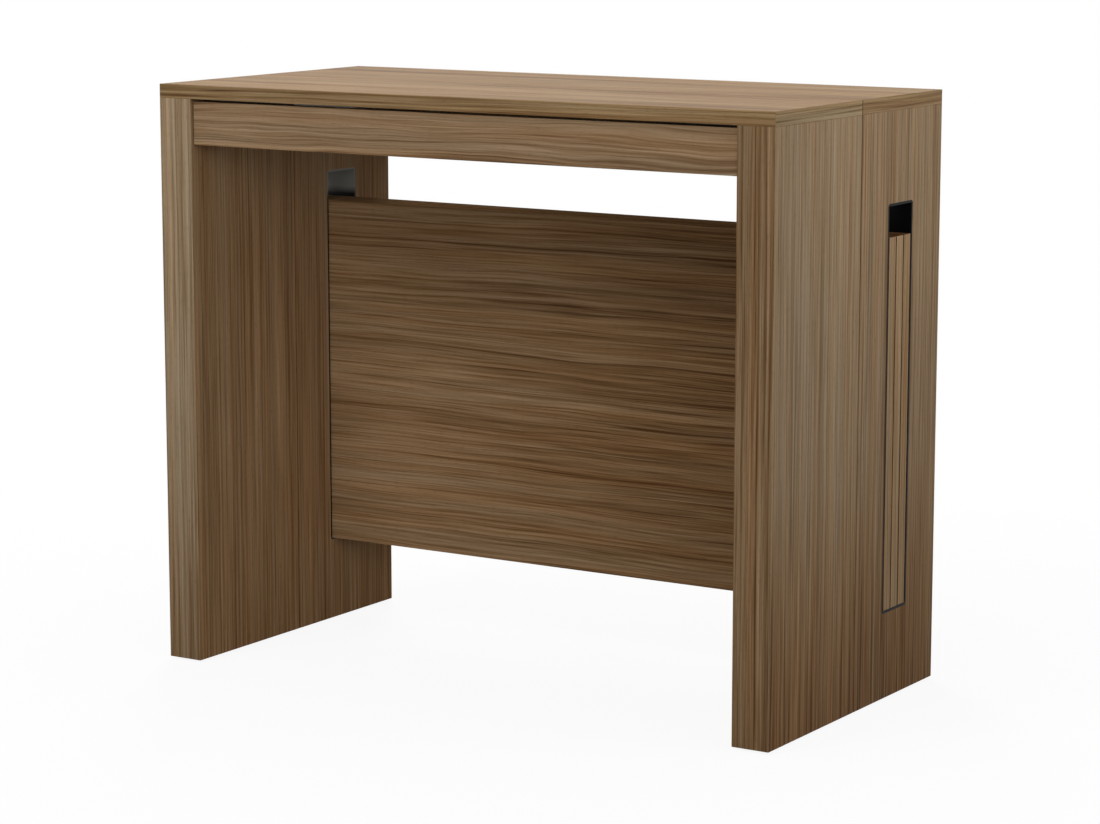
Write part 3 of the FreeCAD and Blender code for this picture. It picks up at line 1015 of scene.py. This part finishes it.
def grow(base: bpy.types.Mesh, tree: bpy.types.NodeTree, values: Mapping[str, Any]) -> bpy.types.Mesh:
    """Runs a geometry tree on a mesh.

    Args:
        base: the mesh that goes in.
        tree: the tree.
        values: a value for each of its inputs but the geometry.

    Returns:
        A plain mesh.
    """
    holder = bpy.data.objects.new("growing", base)
    bpy.context.scene.collection.objects.link(holder)
    modifier = holder.modifiers.new("grow", "NODES")
    modifier.node_group = tree
    for item in tree.interface.items_tree:
        if item.in_out == "INPUT" and item.name in values:
            modifier[item.identifier] = values[item.name]
    depsgraph = bpy.context.evaluated_depsgraph_get()
    result = bpy.data.meshes.new_from_object(holder.evaluated_get(depsgraph))
    holder.modifiers.remove(modifier)
    bpy.data.objects.remove(holder)
    return result


@dataclass(frozen=True)
class Fixing:
    """A turned fixing with its head at the outer end, in metres."""

    name: str
    top_radius: float
    foot_radius: float
    head_height: float
    shank_radius: float = 0.0
    head: Head = Head.TAPER
    drive: Drive = Drive.NONE
    drive_length: float = 0.0
    drive_width: float = 0.0
    drive_depth: float = 0.0
    second_bar: float = 0.9
    sides: int = 32
    seed: int = 7

    def _head(self, sheet: Sheet, inputs: Mapping[str, Wire]) -> Wire:
        """Makes the head alone, with its outer end at the origin and its body below.

        Args:
            sheet: the sheet of the tree's nodes.
            inputs: a wire from each input of the tree.

        Returns:
            The head.
        """
        down = sheet.node("ShaderNodeCombineXYZ", None, {"Z": 0.0 - inputs["Head Height"]})
        if self.head is Head.DOME:
            ball = sheet.node("GeometryNodeMeshUVSphere", None, {
                "Segments": self.sides, "Rings": self.sides // 2, "Radius": inputs["Foot Radius"]})
            flat = inputs["Head Height"] / inputs["Foot Radius"]
            scale = sheet.node("ShaderNodeCombineXYZ", None, {"X": 1.0, "Y": 1.0, "Z": flat})
            return sheet.node("GeometryNodeTransform", None, {0: ball, "Translation": down, "Scale": scale})
        cone = sheet.node("GeometryNodeMeshCone", None, {
            "Vertices": self.sides, "Radius Top": inputs["Top Radius"],
            "Radius Bottom": inputs["Foot Radius"], "Depth": inputs["Head Height"]})
        return sheet.node("GeometryNodeTransform", None, {0: cone, "Translation": down})

    def _drive(self, sheet: Sheet, inputs: Mapping[str, Wire]) -> list[Wire]:
        """Makes the cutters of the recess, centred on the outer end, so that half of each stands clear.

        Args:
            sheet: the sheet of the tree's nodes.
            inputs: a wire from each input of the tree.

        Returns:
            The cutters.
        """
        width = inputs["Drive Width"]
        depth = inputs["Drive Depth"] * 2.0
        if self.drive is Drive.HEX:
            prism = {"Vertices": HEXAGON, "Radius": width, "Depth": depth}
            return [sheet.node("GeometryNodeMeshCylinder", None, prism)]
        size = sheet.node("ShaderNodeCombineXYZ", None, {"X": inputs["Drive Length"], "Y": width, "Z": depth})
        bar = sheet.node("GeometryNodeMeshCube", None, {"Size": size})
        turn = {"Rotation": (0.0, 0.0, QUARTER_TURN), "Scale": (1.0, 1.0, self.second_bar)}
        return [bar, sheet.node("GeometryNodeTransform", None, {0: bar, **turn})]

    def tree(self) -> bpy.types.NodeTree:
        """Builds the tree that stands a fixing on each point, turned to the point's own axis.

        Returns:
            The tree.
        """
        size = "NodeSocketFloat"
        sheet, inputs = new_tree(self.name, {
            "Points": "NodeSocketGeometry", "Top Radius": size, "Foot Radius": size, "Head Height": size,
            "Shank Radius": size, "Length": size, "Drive Length": size, "Drive Width": size,
            "Drive Depth": size, "Seed": "NodeSocketInt", "Material": "NodeSocketMaterial"})
        solid = self._head(sheet, inputs)
        if self.shank_radius:
            # The shank starts half-way down the head, so that the two join
            start = inputs["Head Height"] * 0.5
            depth = inputs["Length"] - start
            shank = sheet.node("GeometryNodeMeshCylinder", None, {
                "Vertices": self.sides, "Radius": inputs["Shank Radius"], "Depth": depth})
            middle = sheet.node("ShaderNodeCombineXYZ", None, {"Z": (start + depth * 0.5) * -1.0})
            shank = sheet.node("GeometryNodeTransform", None, {0: shank, "Translation": middle})
            solid = sheet.node("GeometryNodeMeshBoolean", {"operation": "UNION"}, {"Mesh 2": [solid, shank]})
        if self.drive is not Drive.NONE:
            for cutter in self._drive(sheet, inputs):
                settings = {"operation": "DIFFERENCE"}
                solid = sheet.node("GeometryNodeMeshBoolean", settings, {"Mesh 1": solid, "Mesh 2": [cutter]})
        axis = sheet.node(
            "GeometryNodeInputNamedAttribute", {"data_type": "FLOAT_VECTOR"}, {"Name": AXIS_ATTRIBUTE})
        turns = {RANDOM_LOW: 0.0, RANDOM_HIGH: math.tau, "Seed": inputs["Seed"]}
        turn = sheet.node("FunctionNodeRandomValue", None, turns, RANDOM_RESULT)
        roll = sheet.node("ShaderNodeCombineXYZ", None, {"Z": turn})
        rotation = sheet.node("FunctionNodeEulerToRotation", None, {0: roll})
        rotation = sheet.node(
            "FunctionNodeAlignRotationToVector", {"axis": "Z"}, {"Rotation": rotation, "Vector": axis})
        copies = sheet.node("GeometryNodeInstanceOnPoints", None, {
            "Points": inputs["Points"], "Instance": solid, "Rotation": rotation})
        end_tree(sheet, copies, inputs["Material"])
        return sheet.tree

    def mesh(self, sites: Sequence[Site], material: bpy.types.Material) -> bpy.types.Mesh:
        """Stands a fixing at each site.

        Args:
            sites: the box of each fixing, all of one length, and the side that its head looks to.
            material: the finish.

        Returns:
            One mesh of all of them.
        """
        points = bpy.data.meshes.new("places")
        points.from_pydata([head_place(box, look) for box, look in sites], [], [])
        axes = points.attributes.new(AXIS_ATTRIBUTE, "FLOAT_VECTOR", "POINT")
        for row, (_, look) in zip(axes.data, sites):
            row.vector = look.way()
        made = grow(points, self.tree(), {
            "Top Radius": self.top_radius, "Foot Radius": self.foot_radius, "Head Height": self.head_height,
            "Shank Radius": self.shank_radius, "Length": length_along(*sites[0]),
            "Drive Length": self.drive_length, "Drive Width": self.drive_width,
            "Drive Depth": self.drive_depth, "Seed": self.seed, "Material": material})
        made.shade_smooth()
        made.set_sharp_from_angle(angle=SHARP_ANGLE)
        return made


def add_fixings(
    name: str, node: str, fixing: Fixing, material: bpy.types.Material, look: Face | None = None,
) -> None:
    """Stands a round fixing for each solid of a node.

    Args:
        name: the new piece's name.
        node: the node that it stands for.
        fixing: the fixing.
        material: its finish.
        look: the side that the heads look to, where it isn't the middle of the table.
    """
    sites = [(box, look or inward(box)) for box in solid_boxes(node)]
    add_piece(name, fixing.mesh(sites, material), material, node)


@dataclass(frozen=True)
class RailSection:
    """The section of a slide bar: a lipped channel, and a T rib towards the bar outside it."""

    width: float = 0.020
    height: float = 0.048
    wall: float = 0.0025
    mouth: float = 0.014
    stem: float = 0.008
    head: float = 0.032
    head_near: float = 0.0075
    head_far: float = 0.0115
    corner: float = 0.0004
    corner_steps: int = 3

    def outline(self, ribbed: bool) -> list[tuple[float, float]]:
        """Points from the outer bottom corner, as lengths inwards and upwards.

        Args:
            ribbed: whether the bar has a rib.

        Returns:
            The points in order.
        """
        lip = self.width - self.wall
        roof = self.height - self.wall
        middle = self.height / 2
        half_mouth = self.mouth / 2
        half_stem = self.stem / 2
        half_head = self.head / 2
        points = [
            (0.0, 0.0),
            (self.width, 0.0),
            (self.width, middle - half_mouth),
            (lip, middle - half_mouth),
            (lip, self.wall),
            (self.wall, self.wall),
            (self.wall, roof),
            (lip, roof),
            (lip, middle + half_mouth),
            (self.width, middle + half_mouth),
            (self.width, self.height),
            (0.0, self.height),
        ]
        if ribbed:
            points += [
                (0.0, middle + half_stem),
                (-self.head_near, middle + half_stem),
                (-self.head_near, middle + half_head),
                (-self.head_far, middle + half_head),
                (-self.head_far, middle - half_head),
                (-self.head_near, middle - half_head),
                (-self.head_near, middle - half_stem),
                (0.0, middle - half_stem),
            ]
        return points

    def tree(self) -> bpy.types.NodeTree:
        """Builds the tree that rounds a section's corners and draws it out along Y.

        Returns:
            The tree.
        """
        sheet, inputs = new_tree("slide_bar", {
            "Section": "NodeSocketGeometry", "Start": "NodeSocketFloat", "End": "NodeSocketFloat",
            "Corner": "NodeSocketFloat", "Material": "NodeSocketMaterial"})
        curve = sheet.node("GeometryNodeMeshToCurve", None, {"Mesh": inputs["Section"]})
        rounding = {"Count": self.corner_steps, "Radius": inputs["Corner"], "Limit Radius": True}
        rounded = sheet.node("GeometryNodeFilletCurve", {"mode": "POLY"}, {"Curve": curve, **rounding})
        start = sheet.node("ShaderNodeCombineXYZ", None, {"Y": inputs["Start"]})
        end = sheet.node("ShaderNodeCombineXYZ", None, {"Y": inputs["End"]})
        line = sheet.node("GeometryNodeCurvePrimitiveLine", None, {"Start": start, "End": end})
        bar = sheet.node(
            "GeometryNodeCurveToMesh", None, {"Curve": line, "Profile Curve": rounded, "Fill Caps": True})
        end_tree(sheet, bar, inputs["Material"])
        return sheet.tree

    def mesh(self, box: Box, side: Side, ribbed: bool, material: bpy.types.Material) -> bpy.types.Mesh:
        """Draws a bar out in its box.

        Args:
            box: the bar's lowest and highest corners, with the rib.
            side: the end of the table that it is on.
            ribbed: whether it has a rib.
            material: the finish.

        Returns:
            Its mesh.
        """
        low, high = box
        outer = high.x if side is Side.RIGHT else low.x
        if ribbed:
            outer -= side.value * self.head_far
        points = [(outer - side.value * inwards, low.z + up) for inwards, up in self.outline(ribbed)]
        section = bpy.data.meshes.new("section")
        count = len(points)
        edges = [(number, (number + 1) % count) for number in range(count)]
        # The section lies flat, and the path along Y turns it upright
        section.from_pydata([(x, -z, 0.0) for x, z in points], edges, [])
        values = {"Start": low.y, "End": high.y, "Corner": self.corner, "Material": material}
        bar = grow(section, self.tree(), values)
        shell = bmesh.new()
        shell.from_mesh(bar)
        bmesh.ops.remove_doubles(shell, verts=shell.verts[:], dist=WELD)
        bmesh.ops.recalc_face_normals(shell, faces=shell.faces[:])
        return mesh_from(shell, "bar")


@dataclass
class TableHalf:
    """What both halves have: a top, two legs, an apron, two slide bars, joints and glides."""

    name: str
    palette: Palette
    outside: Face
    arris: float = 0.0005
    apron_gap: float = 0.0015
    # Face shades: partly board-to-board variation and partly painted light and shade, set for how each face
    # is lit; the inner faces are painted paler and warmer for light bounced inside the frame
    left_edge: Shade = Shade(tone=0.42, warmth=-0.42, foot_tone=-0.25)
    right_edge: Shade = Shade(tone=0.06, foot_tone=-0.14)
    inner: Shade = Shade(tone=0.37, warmth=0.52, foot_tone=-0.17, foot_warmth=0.3)
    outer: Shade = Shade(tone=0.30, warmth=-0.25, foot_tone=-0.43, foot_warmth=0.9)
    # Painted shade: the faces where the halves meet are darkened so the seam reads as a dark line
    meeting: Shade = Shade(tone=-0.30)
    slab_face: Shade = Shade(tone=-0.02, warmth=0.25)
    slab_edge: Shade = Shade(tone=0.03)
    slab_end: Shade = Shade(tone=-0.05, warmth=-0.3)
    apron_face: Shade = Shade(tone=0.10)
    section: RailSection = RailSection()
    glide: Fixing = Fixing(
        "floor_glide", top_radius=0.0100, foot_radius=0.0110, head_height=0.0030, shank_radius=0.0025,
        sides=48)
    cam: Fixing = Fixing(
        "cam_disc", top_radius=0.0074, foot_radius=0.0075, head_height=0.0125,
        drive=Drive.CROSS, drive_length=0.0085, drive_width=0.0016, drive_depth=0.0028)
    cam_bolt: Fixing = Fixing(
        "cam_bolt", top_radius=0.0030, foot_radius=0.0030, head_height=0.0020, shank_radius=0.0028)
    shortest_bolt: float = 0.018

    def add_leg(self, side: Side) -> None:
        """Builds a leg panel with upright grain.

        Args:
            side: the end of the table that it is on.
        """
        node = f"{self.name}_{side.name.lower()}_leg"
        mesh = carved(board_mesh(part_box(node), self.arris), self.leg_cutters(side))
        end = Face[side.name]
        shades = {
            self.outside: self.left_edge if side is Side.LEFT else self.right_edge,
            self.outside.opposite(): self.meeting,
            end: self.outer,
            end.opposite(): self.inner,
        }
        lay_grain(mesh, Grain.Z, Grain.Y, node, shades)
        add_piece(f"{node}_board", mesh, self.palette.panel, node)

    def add_top(self) -> None:
        """Builds the top board, whose end edges have grain along Y."""
        node = f"{self.name}_top"
        mesh = board_mesh(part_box(node), self.arris)
        shades = {
            Face.UPPER: self.slab_face,
            self.outside: self.slab_edge,
            self.outside.opposite(): self.meeting,
            Face.LEFT: self.slab_end,
            Face.RIGHT: self.slab_end,
        }
        lay_grain(mesh, Grain.X, Grain.Y, node, shades)
        add_piece(f"{node}_board", mesh, self.palette.top, node)

    def add_apron(self) -> None:
        """Builds the apron, a hair short of the legs."""
        node = f"{self.name}_apron"
        low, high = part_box(node)
        short = Vector((self.apron_gap, 0.0, 0.0))
        mesh = board_mesh((low + short, high - short), self.arris)
        lay_grain(mesh, Grain.X, Grain.Z, node, {self.outside: self.apron_face})
        add_piece(f"{node}_board", mesh, self.palette.apron, node)

    def leg_cutters(self, side: Side) -> Sequence[bpy.types.Mesh]:
        """What is cut out of a leg: nothing, unless a half says so."""
        return ()

    def add_bars(self, ribbed: bool) -> None:
        """Builds the half's own slide bars.

        Args:
            ribbed: whether they have ribs.
        """
        for side in Side:
            node = f"{self.name}_{side.name.lower()}_rail"
            mesh = self.section.mesh(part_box(node), side, ribbed, self.palette.alloy)
            mesh = carved(mesh, self.bar_cutters(side))
            add_piece(f"{node}_bar", mesh, self.palette.alloy, node)

    def bar_cutters(self, side: Side) -> Sequence[bpy.types.Mesh]:
        """What is cut out of a slide bar: nothing, unless a half says so."""
        return ()

    def add_cams(self) -> None:
        """Builds the cam discs, whose slots look inwards, and their bolts."""
        node = f"{self.name}_cam_fittings"
        discs: list[Site] = []
        level_bolts: list[Site] = []
        upright_bolts: list[Site] = []
        for box in solid_boxes(node):
            size = box[1] - box[0]
            if size.x > self.shortest_bolt:
                level_bolts.append((box, inward(box)))
            elif size.z > self.shortest_bolt:
                upright_bolts.append((box, Face.UNDER))
            elif size.x < size.z:
                discs.append((box, inward(box)))
            else:
                discs.append((box, self.outside.opposite()))
        zinc = self.palette.zinc
        meshes = [self.cam.mesh(discs, zinc)]
        meshes += [self.cam_bolt.mesh(bolts, zinc) for bolts in (level_bolts, upright_bolts)]
        add_piece(f"{self.name}_cams", joined(meshes), zinc, node)

    def add_common(self) -> None:
        """Builds what both halves have but the bars."""
        self.add_top()
        self.add_apron()
        for side in Side:
            self.add_leg(side)
        glides = f"{self.name}_floor_glides"
        add_fixings(glides, f"{self.name}_glides", self.glide, self.palette.glide, Face.UNDER)
        self.add_cams()
        dress_node(f"{self.name}_dowels", self.palette.beech)
        dress_node(f"{self.name}_rail_shoes", self.palette.nylon)


@dataclass
class RearHalf(TableHalf):
    """The half that stays, with slots for the leaves through its legs."""

    rim: float = 0.0030
    wall: float = 0.0020
    rim_depth: float = 0.0012
    clearance: float = 0.0002
    top_radius: float = 0.0015
    floor_radius: float = 0.0015
    rail_screw: Fixing = Fixing(
        "rail_screw", top_radius=0.0042, foot_radius=0.0022, head_height=0.0022, shank_radius=0.0021,
        drive=Drive.CROSS, drive_length=0.0046, drive_width=0.0009, drive_depth=0.0016)

    def leg_cutters(self, side: Side) -> Sequence[bpy.types.Mesh]:
        """The slot through a leg and the rebate for the liner's rim.

        Args:
            side: the end of the table that the leg is on.

        Returns:
            Their cutters.
        """
        low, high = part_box(f"{side.name.lower()}_slot_liner")
        step = self.rim - self.wall - self.clearance
        inset = Vector((-self.clearance, step, step))
        wall = self.wall + self.clearance
        slot = rounded_bar((low + inset, high - inset), self.top_radius + wall, self.floor_radius + wall)
        room = Vector((self.clearance, self.clearance, self.clearance))
        depth = self.rim_depth + self.clearance
        rebate_low, rebate_high = low - room, high + room
        if side is Side.RIGHT:
            rebate_low.x = high.x - depth
        else:
            rebate_high.x = low.x + depth
        rim = self.rim + self.clearance
        rebate = rounded_bar((rebate_low, rebate_high), self.top_radius + rim, self.floor_radius + rim)
        return [slot, rebate]

    def build(self) -> None:
        """Builds and dresses the rear half."""
        self.add_common()
        self.add_bars(False)
        # The left liner wears the lit copy: painted light
        dress_node("left_slot_liner", self.palette.liner_handled)
        dress_node("right_slot_liner", self.palette.liner_black)
        add_fixings("rear_countersunk_screws", "rear_rail_screws", self.rail_screw, self.palette.zinc)


@dataclass
class FrontHalf(TableHalf):
    """The half that pulls forward, with its last slide bars bracketed to the apron."""

    # Partly painted light: the front half's outer faces and top ends are paler than the rear half's
    outer: Shade = Shade(tone=0.38, warmth=-0.36, foot_tone=-0.48, foot_warmth=1.2)
    slab_end: Shade = Shade(tone=0.25, warmth=-0.45)
    access_radius: float = 0.0060
    access_sides: int = 40
    nut_arris: float = 0.00025
    pan_screw: Fixing = Fixing(
        "pan_screw", top_radius=0.0033, foot_radius=0.0042, head_height=0.0022, shank_radius=0.0021,
        drive=Drive.CROSS, drive_length=0.0044, drive_width=0.0009, drive_depth=0.0012)
    socket_bolt: Fixing = Fixing(
        "socket_bolt", top_radius=0.0047, foot_radius=0.0050, head_height=0.0040, shank_radius=0.0029,
        drive=Drive.HEX, drive_width=0.0026, drive_depth=0.0024)

    def bar_cutters(self, side: Side) -> Sequence[bpy.types.Mesh]:
        """The round holes that let a screwdriver up to the screws of the top.

        Args:
            side: the end of the table that the bar is on.

        Returns:
            One mesh of their cutters.
        """
        shell = bmesh.new()
        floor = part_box(f"{self.name}_{side.name.lower()}_rail")[0].z + self.section.wall / 2
        for low, high in solid_boxes("front_rail_screws"):
            if low.x * side.value > 0:
                place = Matrix.Translation(((low.x + high.x) / 2, (low.y + high.y) / 2, floor))
                bmesh.ops.create_cone(
                    shell, cap_ends=True, segments=self.access_sides, radius1=self.access_radius,
                    radius2=self.access_radius, depth=2 * self.section.wall, matrix=place)
        return [mesh_from(shell, "access")]

    def add_bracket_fixings(self) -> None:
        """Builds the bracket screws, the bolts and the slot nuts, told apart by their longest axis."""
        node = "front_bracket_fixings"
        bolts, screws, nuts = [], [], []
        for box in solid_boxes(node):
            size = box[1] - box[0]
            longest = max(range(3), key=lambda axis: size[axis])
            (bolts, screws, nuts)[longest].append(box)
        zinc = self.palette.zinc
        meshes = [
            self.pan_screw.mesh([(box, Face.REAR) for box in screws], zinc),
            self.socket_bolt.mesh([(box, inward(box)) for box in bolts], zinc),
        ]
        meshes += [board_mesh(box, self.nut_arris) for box in nuts]
        add_piece("bracket_screws_and_bolts", joined(meshes), zinc, node)

    def build(self) -> None:
        """Builds and dresses the front half."""
        self.add_common()
        self.add_bars(True)
        add_fixings("front_pan_screws", "front_rail_screws", self.pan_screw, self.palette.zinc, Face.UNDER)
        self.add_bracket_fixings()
        dress_node("front_rail_brackets", self.palette.zinc)


@dataclass
class SlideStage:
    """A middle stage of the slides: two bars, a cross tie and its rivets, and four shoes."""

    number: int
    palette: Palette
    section: RailSection = RailSection()
    rivet: Fixing = Fixing(
        "tie_rivet", top_radius=0.0, foot_radius=0.0036, head_height=0.0016, shank_radius=0.0019,
        head=Head.DOME, sides=24)

    def build(self) -> None:
        """Builds and dresses the stage."""
        name = f"slide_{self.number}"
        for side in Side:
            node = f"{name}_{side.name.lower()}_rail"
            mesh = self.section.mesh(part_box(node), side, True, self.palette.alloy)
            add_piece(f"{node}_bar", mesh, self.palette.alloy, node)
        rivets = f"{name}_round_rivets"
        add_fixings(rivets, f"{name}_tie_rivets", self.rivet, self.palette.zinc, Face.UNDER)
        dress_node(f"{name}_cross_tie", self.palette.zinc)
        for end in ("front", "rear"):
            dress_node(f"{name}_{end}_shoes", self.palette.nylon)


@dataclass
class LeafSet:
    """The three loose leaves in the slots."""

    palette: Palette
    names: tuple[str, ...] = ("front_leaf", "middle_leaf", "rear_leaf")
    arris: float = 0.0005
    # Partly painted light and shade: the leaf faces are warmed and their long edges darkened, for the shade
    # they stand in under the top
    face: Shade = Shade(warmth=0.32)
    edge: Shade = Shade(tone=-0.22, warmth=0.45)
    # The ends are set paler to undo the painted gap shade and the painted light drift that also reach them
    left_end: Shade = Shade(tone=0.87, warmth=0.1)
    right_end: Shade = Shade(tone=1.32, warmth=0.1)

    def build(self) -> None:
        """Builds the leaves, with upright grain on their ends."""
        shades = {
            Face.FRONT: self.face,
            Face.REAR: self.face,
            Face.UPPER: self.edge,
            Face.UNDER: self.edge,
            Face.LEFT: self.left_end,
            Face.RIGHT: self.right_end,
        }
        for node in self.names:
            mesh = board_mesh(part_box(node), self.arris)
            lay_grain(mesh, Grain.X, Grain.Z, node, shades)
            add_piece(f"{node}_board", mesh, self.palette.leaf, node)


@dataclass(frozen=True)
class Softbox:
    """A square area lamp that looks at a point."""

    name: str
    place: Point
    aim: Point
    size: float
    power: float
    mirrored: bool = True

    def light(self) -> None:
        """Adds the lamp."""
        lamp = bpy.data.lights.new(self.name, "AREA")
        lamp.size = self.size
        lamp.energy = self.power
        holder = bpy.data.objects.new(self.name, lamp)
        holder.location = self.place
        holder.visible_camera = False
        holder.visible_glossy = self.mirrored
        way = Vector(self.aim) - Vector(self.place)
        holder.rotation_euler = way.to_track_quat("-Z", "Y").to_euler()
        bpy.context.scene.collection.objects.link(holder)


@dataclass(frozen=True)
class Studio:
    """Camera, lamps, white surroundings and a pale floor."""

    camera_place: Point = (2.2316, -3.5281, 1.0408)
    camera_yaw: float = 32.243
    camera_drop: float = 9.529
    focal_pixels: float = 3273.0
    picture_width: float = 1100.0
    sensor: float = 36.0
    floor_reach: float = 30.0
    floor_colour: Colour = (0.15, 0.15, 0.15)
    shadow_share: float = 0.09
    shadow_start: float = 0.60
    shadow_end: float = 1.50
    fill: float = 0.15
    soft_way: Point = (0.74, -0.67, 0.10)
    soft_start: float = 0.70
    soft_fill: float = 1.37
    lamps: tuple[Softbox, ...] = (
        Softbox("overhead", place=(0.0, 0.0, 2.2), aim=(0.0, 0.0, 0.4), size=1.4, power=12.3),
        Softbox("front", place=(-0.8, -2.4, 2.7), aim=(-0.2, 0.0, 0.4), size=1.1, power=29.5),
        Softbox("front_low", place=(0.4, -2.6, 1.3), aim=(0.0, 0.1, 0.4), size=0.9, power=11.0),
        Softbox("side", place=(1.2, 0.0, 1.0), aim=(0.45, 0.0, 0.6), size=0.5, power=3.1),
        Softbox("rear", place=(-1.6, 2.0, 1.3), aim=(0.0, 0.1, 0.4), size=1.0, power=40.0, mirrored=False),
    )

    def add_camera(self) -> None:
        """Adds the camera."""
        data = bpy.data.cameras.new("camera")
        data.sensor_width = self.sensor
        data.lens = self.focal_pixels / self.picture_width * self.sensor
        camera = bpy.data.objects.new("camera", data)
        camera.location = self.camera_place
        camera.rotation_euler = (math.radians(90 - self.camera_drop), 0.0, math.radians(self.camera_yaw))
        bpy.context.scene.collection.objects.link(camera)
        bpy.context.scene.camera = camera

    def seen(self, sheet: Sheet) -> Wire:
        """Tells looking at the surroundings, directly, in a reflection or through glass, from their light.

        Args:
            sheet: the sheet of a material or of the world.

        Returns:
            A value of 1 where they are looked at.
        """
        path = sheet.node("ShaderNodeLightPath").socket.node.outputs
        rays = [Wire(sheet, path[name]) for name in ("Is Camera Ray", "Is Glossy Ray", "Is Transmission Ray")]
        return sheet.maths("MAXIMUM", sheet.maths("MAXIMUM", rays[0], rays[1]), rays[2])

    def add_world(self) -> None:
        """Surrounds the table with white, which also lights it softly from one side."""
        world = bpy.data.worlds.new("surroundings")
        bpy.context.scene.world = world
        world.use_nodes = True
        sheet = Sheet(world.node_tree)
        way = sheet.node("ShaderNodeTexCoord", None, None, "Generated")
        both = {0: way, 1: self.soft_way}
        toward = sheet.node("ShaderNodeVectorMath", {"operation": "DOT_PRODUCT"}, both, "Value")
        level = self.fill + sheet.spread(toward, self.soft_start, 1.0) * self.soft_fill
        fill = sheet.node("ShaderNodeBackground", None, {"Color": (*WHITE, 1.0), "Strength": level})
        white = sheet.node("ShaderNodeBackground", None, {"Color": (*WHITE, 1.0), "Strength": 1.0})
        mixed = sheet.node("ShaderNodeMixShader", None, {0: self.seen(sheet), 1: fill, 2: white})
        sheet.node("ShaderNodeOutputWorld", None, {"Surface": mixed})

    def add_floor(self) -> None:
        """Lays a pale floor that looks white and keeps a faint shadow."""
        shell = bmesh.new()
        bmesh.ops.create_grid(shell, x_segments=1, y_segments=1, size=self.floor_reach)
        floor = bpy.data.objects.new("floor", mesh_from(shell, "floor"))
        bpy.context.scene.collection.objects.link(floor)
        material, sheet = new_material("pale_floor")
        seen = self.seen(sheet)
        colour = sheet.blend(seen, self.floor_colour, WHITE)
        paint = sheet.node("ShaderNodeBsdfDiffuse", None, {"Color": colour})
        glow = sheet.node("ShaderNodeEmission", None, {"Color": (*WHITE, 1.0), "Strength": 1.0})
        place = sheet.node("ShaderNodeTexCoord", None, None, "Object")
        reach = sheet.node("ShaderNodeVectorMath", {"operation": "LENGTH"}, {0: place}, "Value")
        share = seen * (1.0 - sheet.spread(reach, self.shadow_end, self.shadow_start) * self.shadow_share)
        mixed = sheet.node("ShaderNodeMixShader", None, {0: share, 1: paint, 2: glow})
        sheet.node("ShaderNodeOutputMaterial", None, {"Surface": mixed})
        floor.data.materials.append(material)

    def build(self) -> None:
        """Adds everything round the table."""
        bpy.context.scene.view_settings.view_transform = "Standard"
        self.add_camera()
        self.add_world()
        self.add_floor()
        for lamp in self.lamps:
            lamp.light()


def main() -> None:
    """Builds the table and its studio in order."""
    logging.basicConfig(level=logging.INFO, format="%(message)s")
    palette = Palette()
    RearHalf("rear", palette, Face.REAR).build()
    FrontHalf("front", palette, Face.FRONT).build()
    for number in range(1, SLIDE_STAGES + 1):
        SlideStage(number, palette).build()
    LeafSet(palette).build()
    Studio().build()


if __name__ == "__main__":
    main()
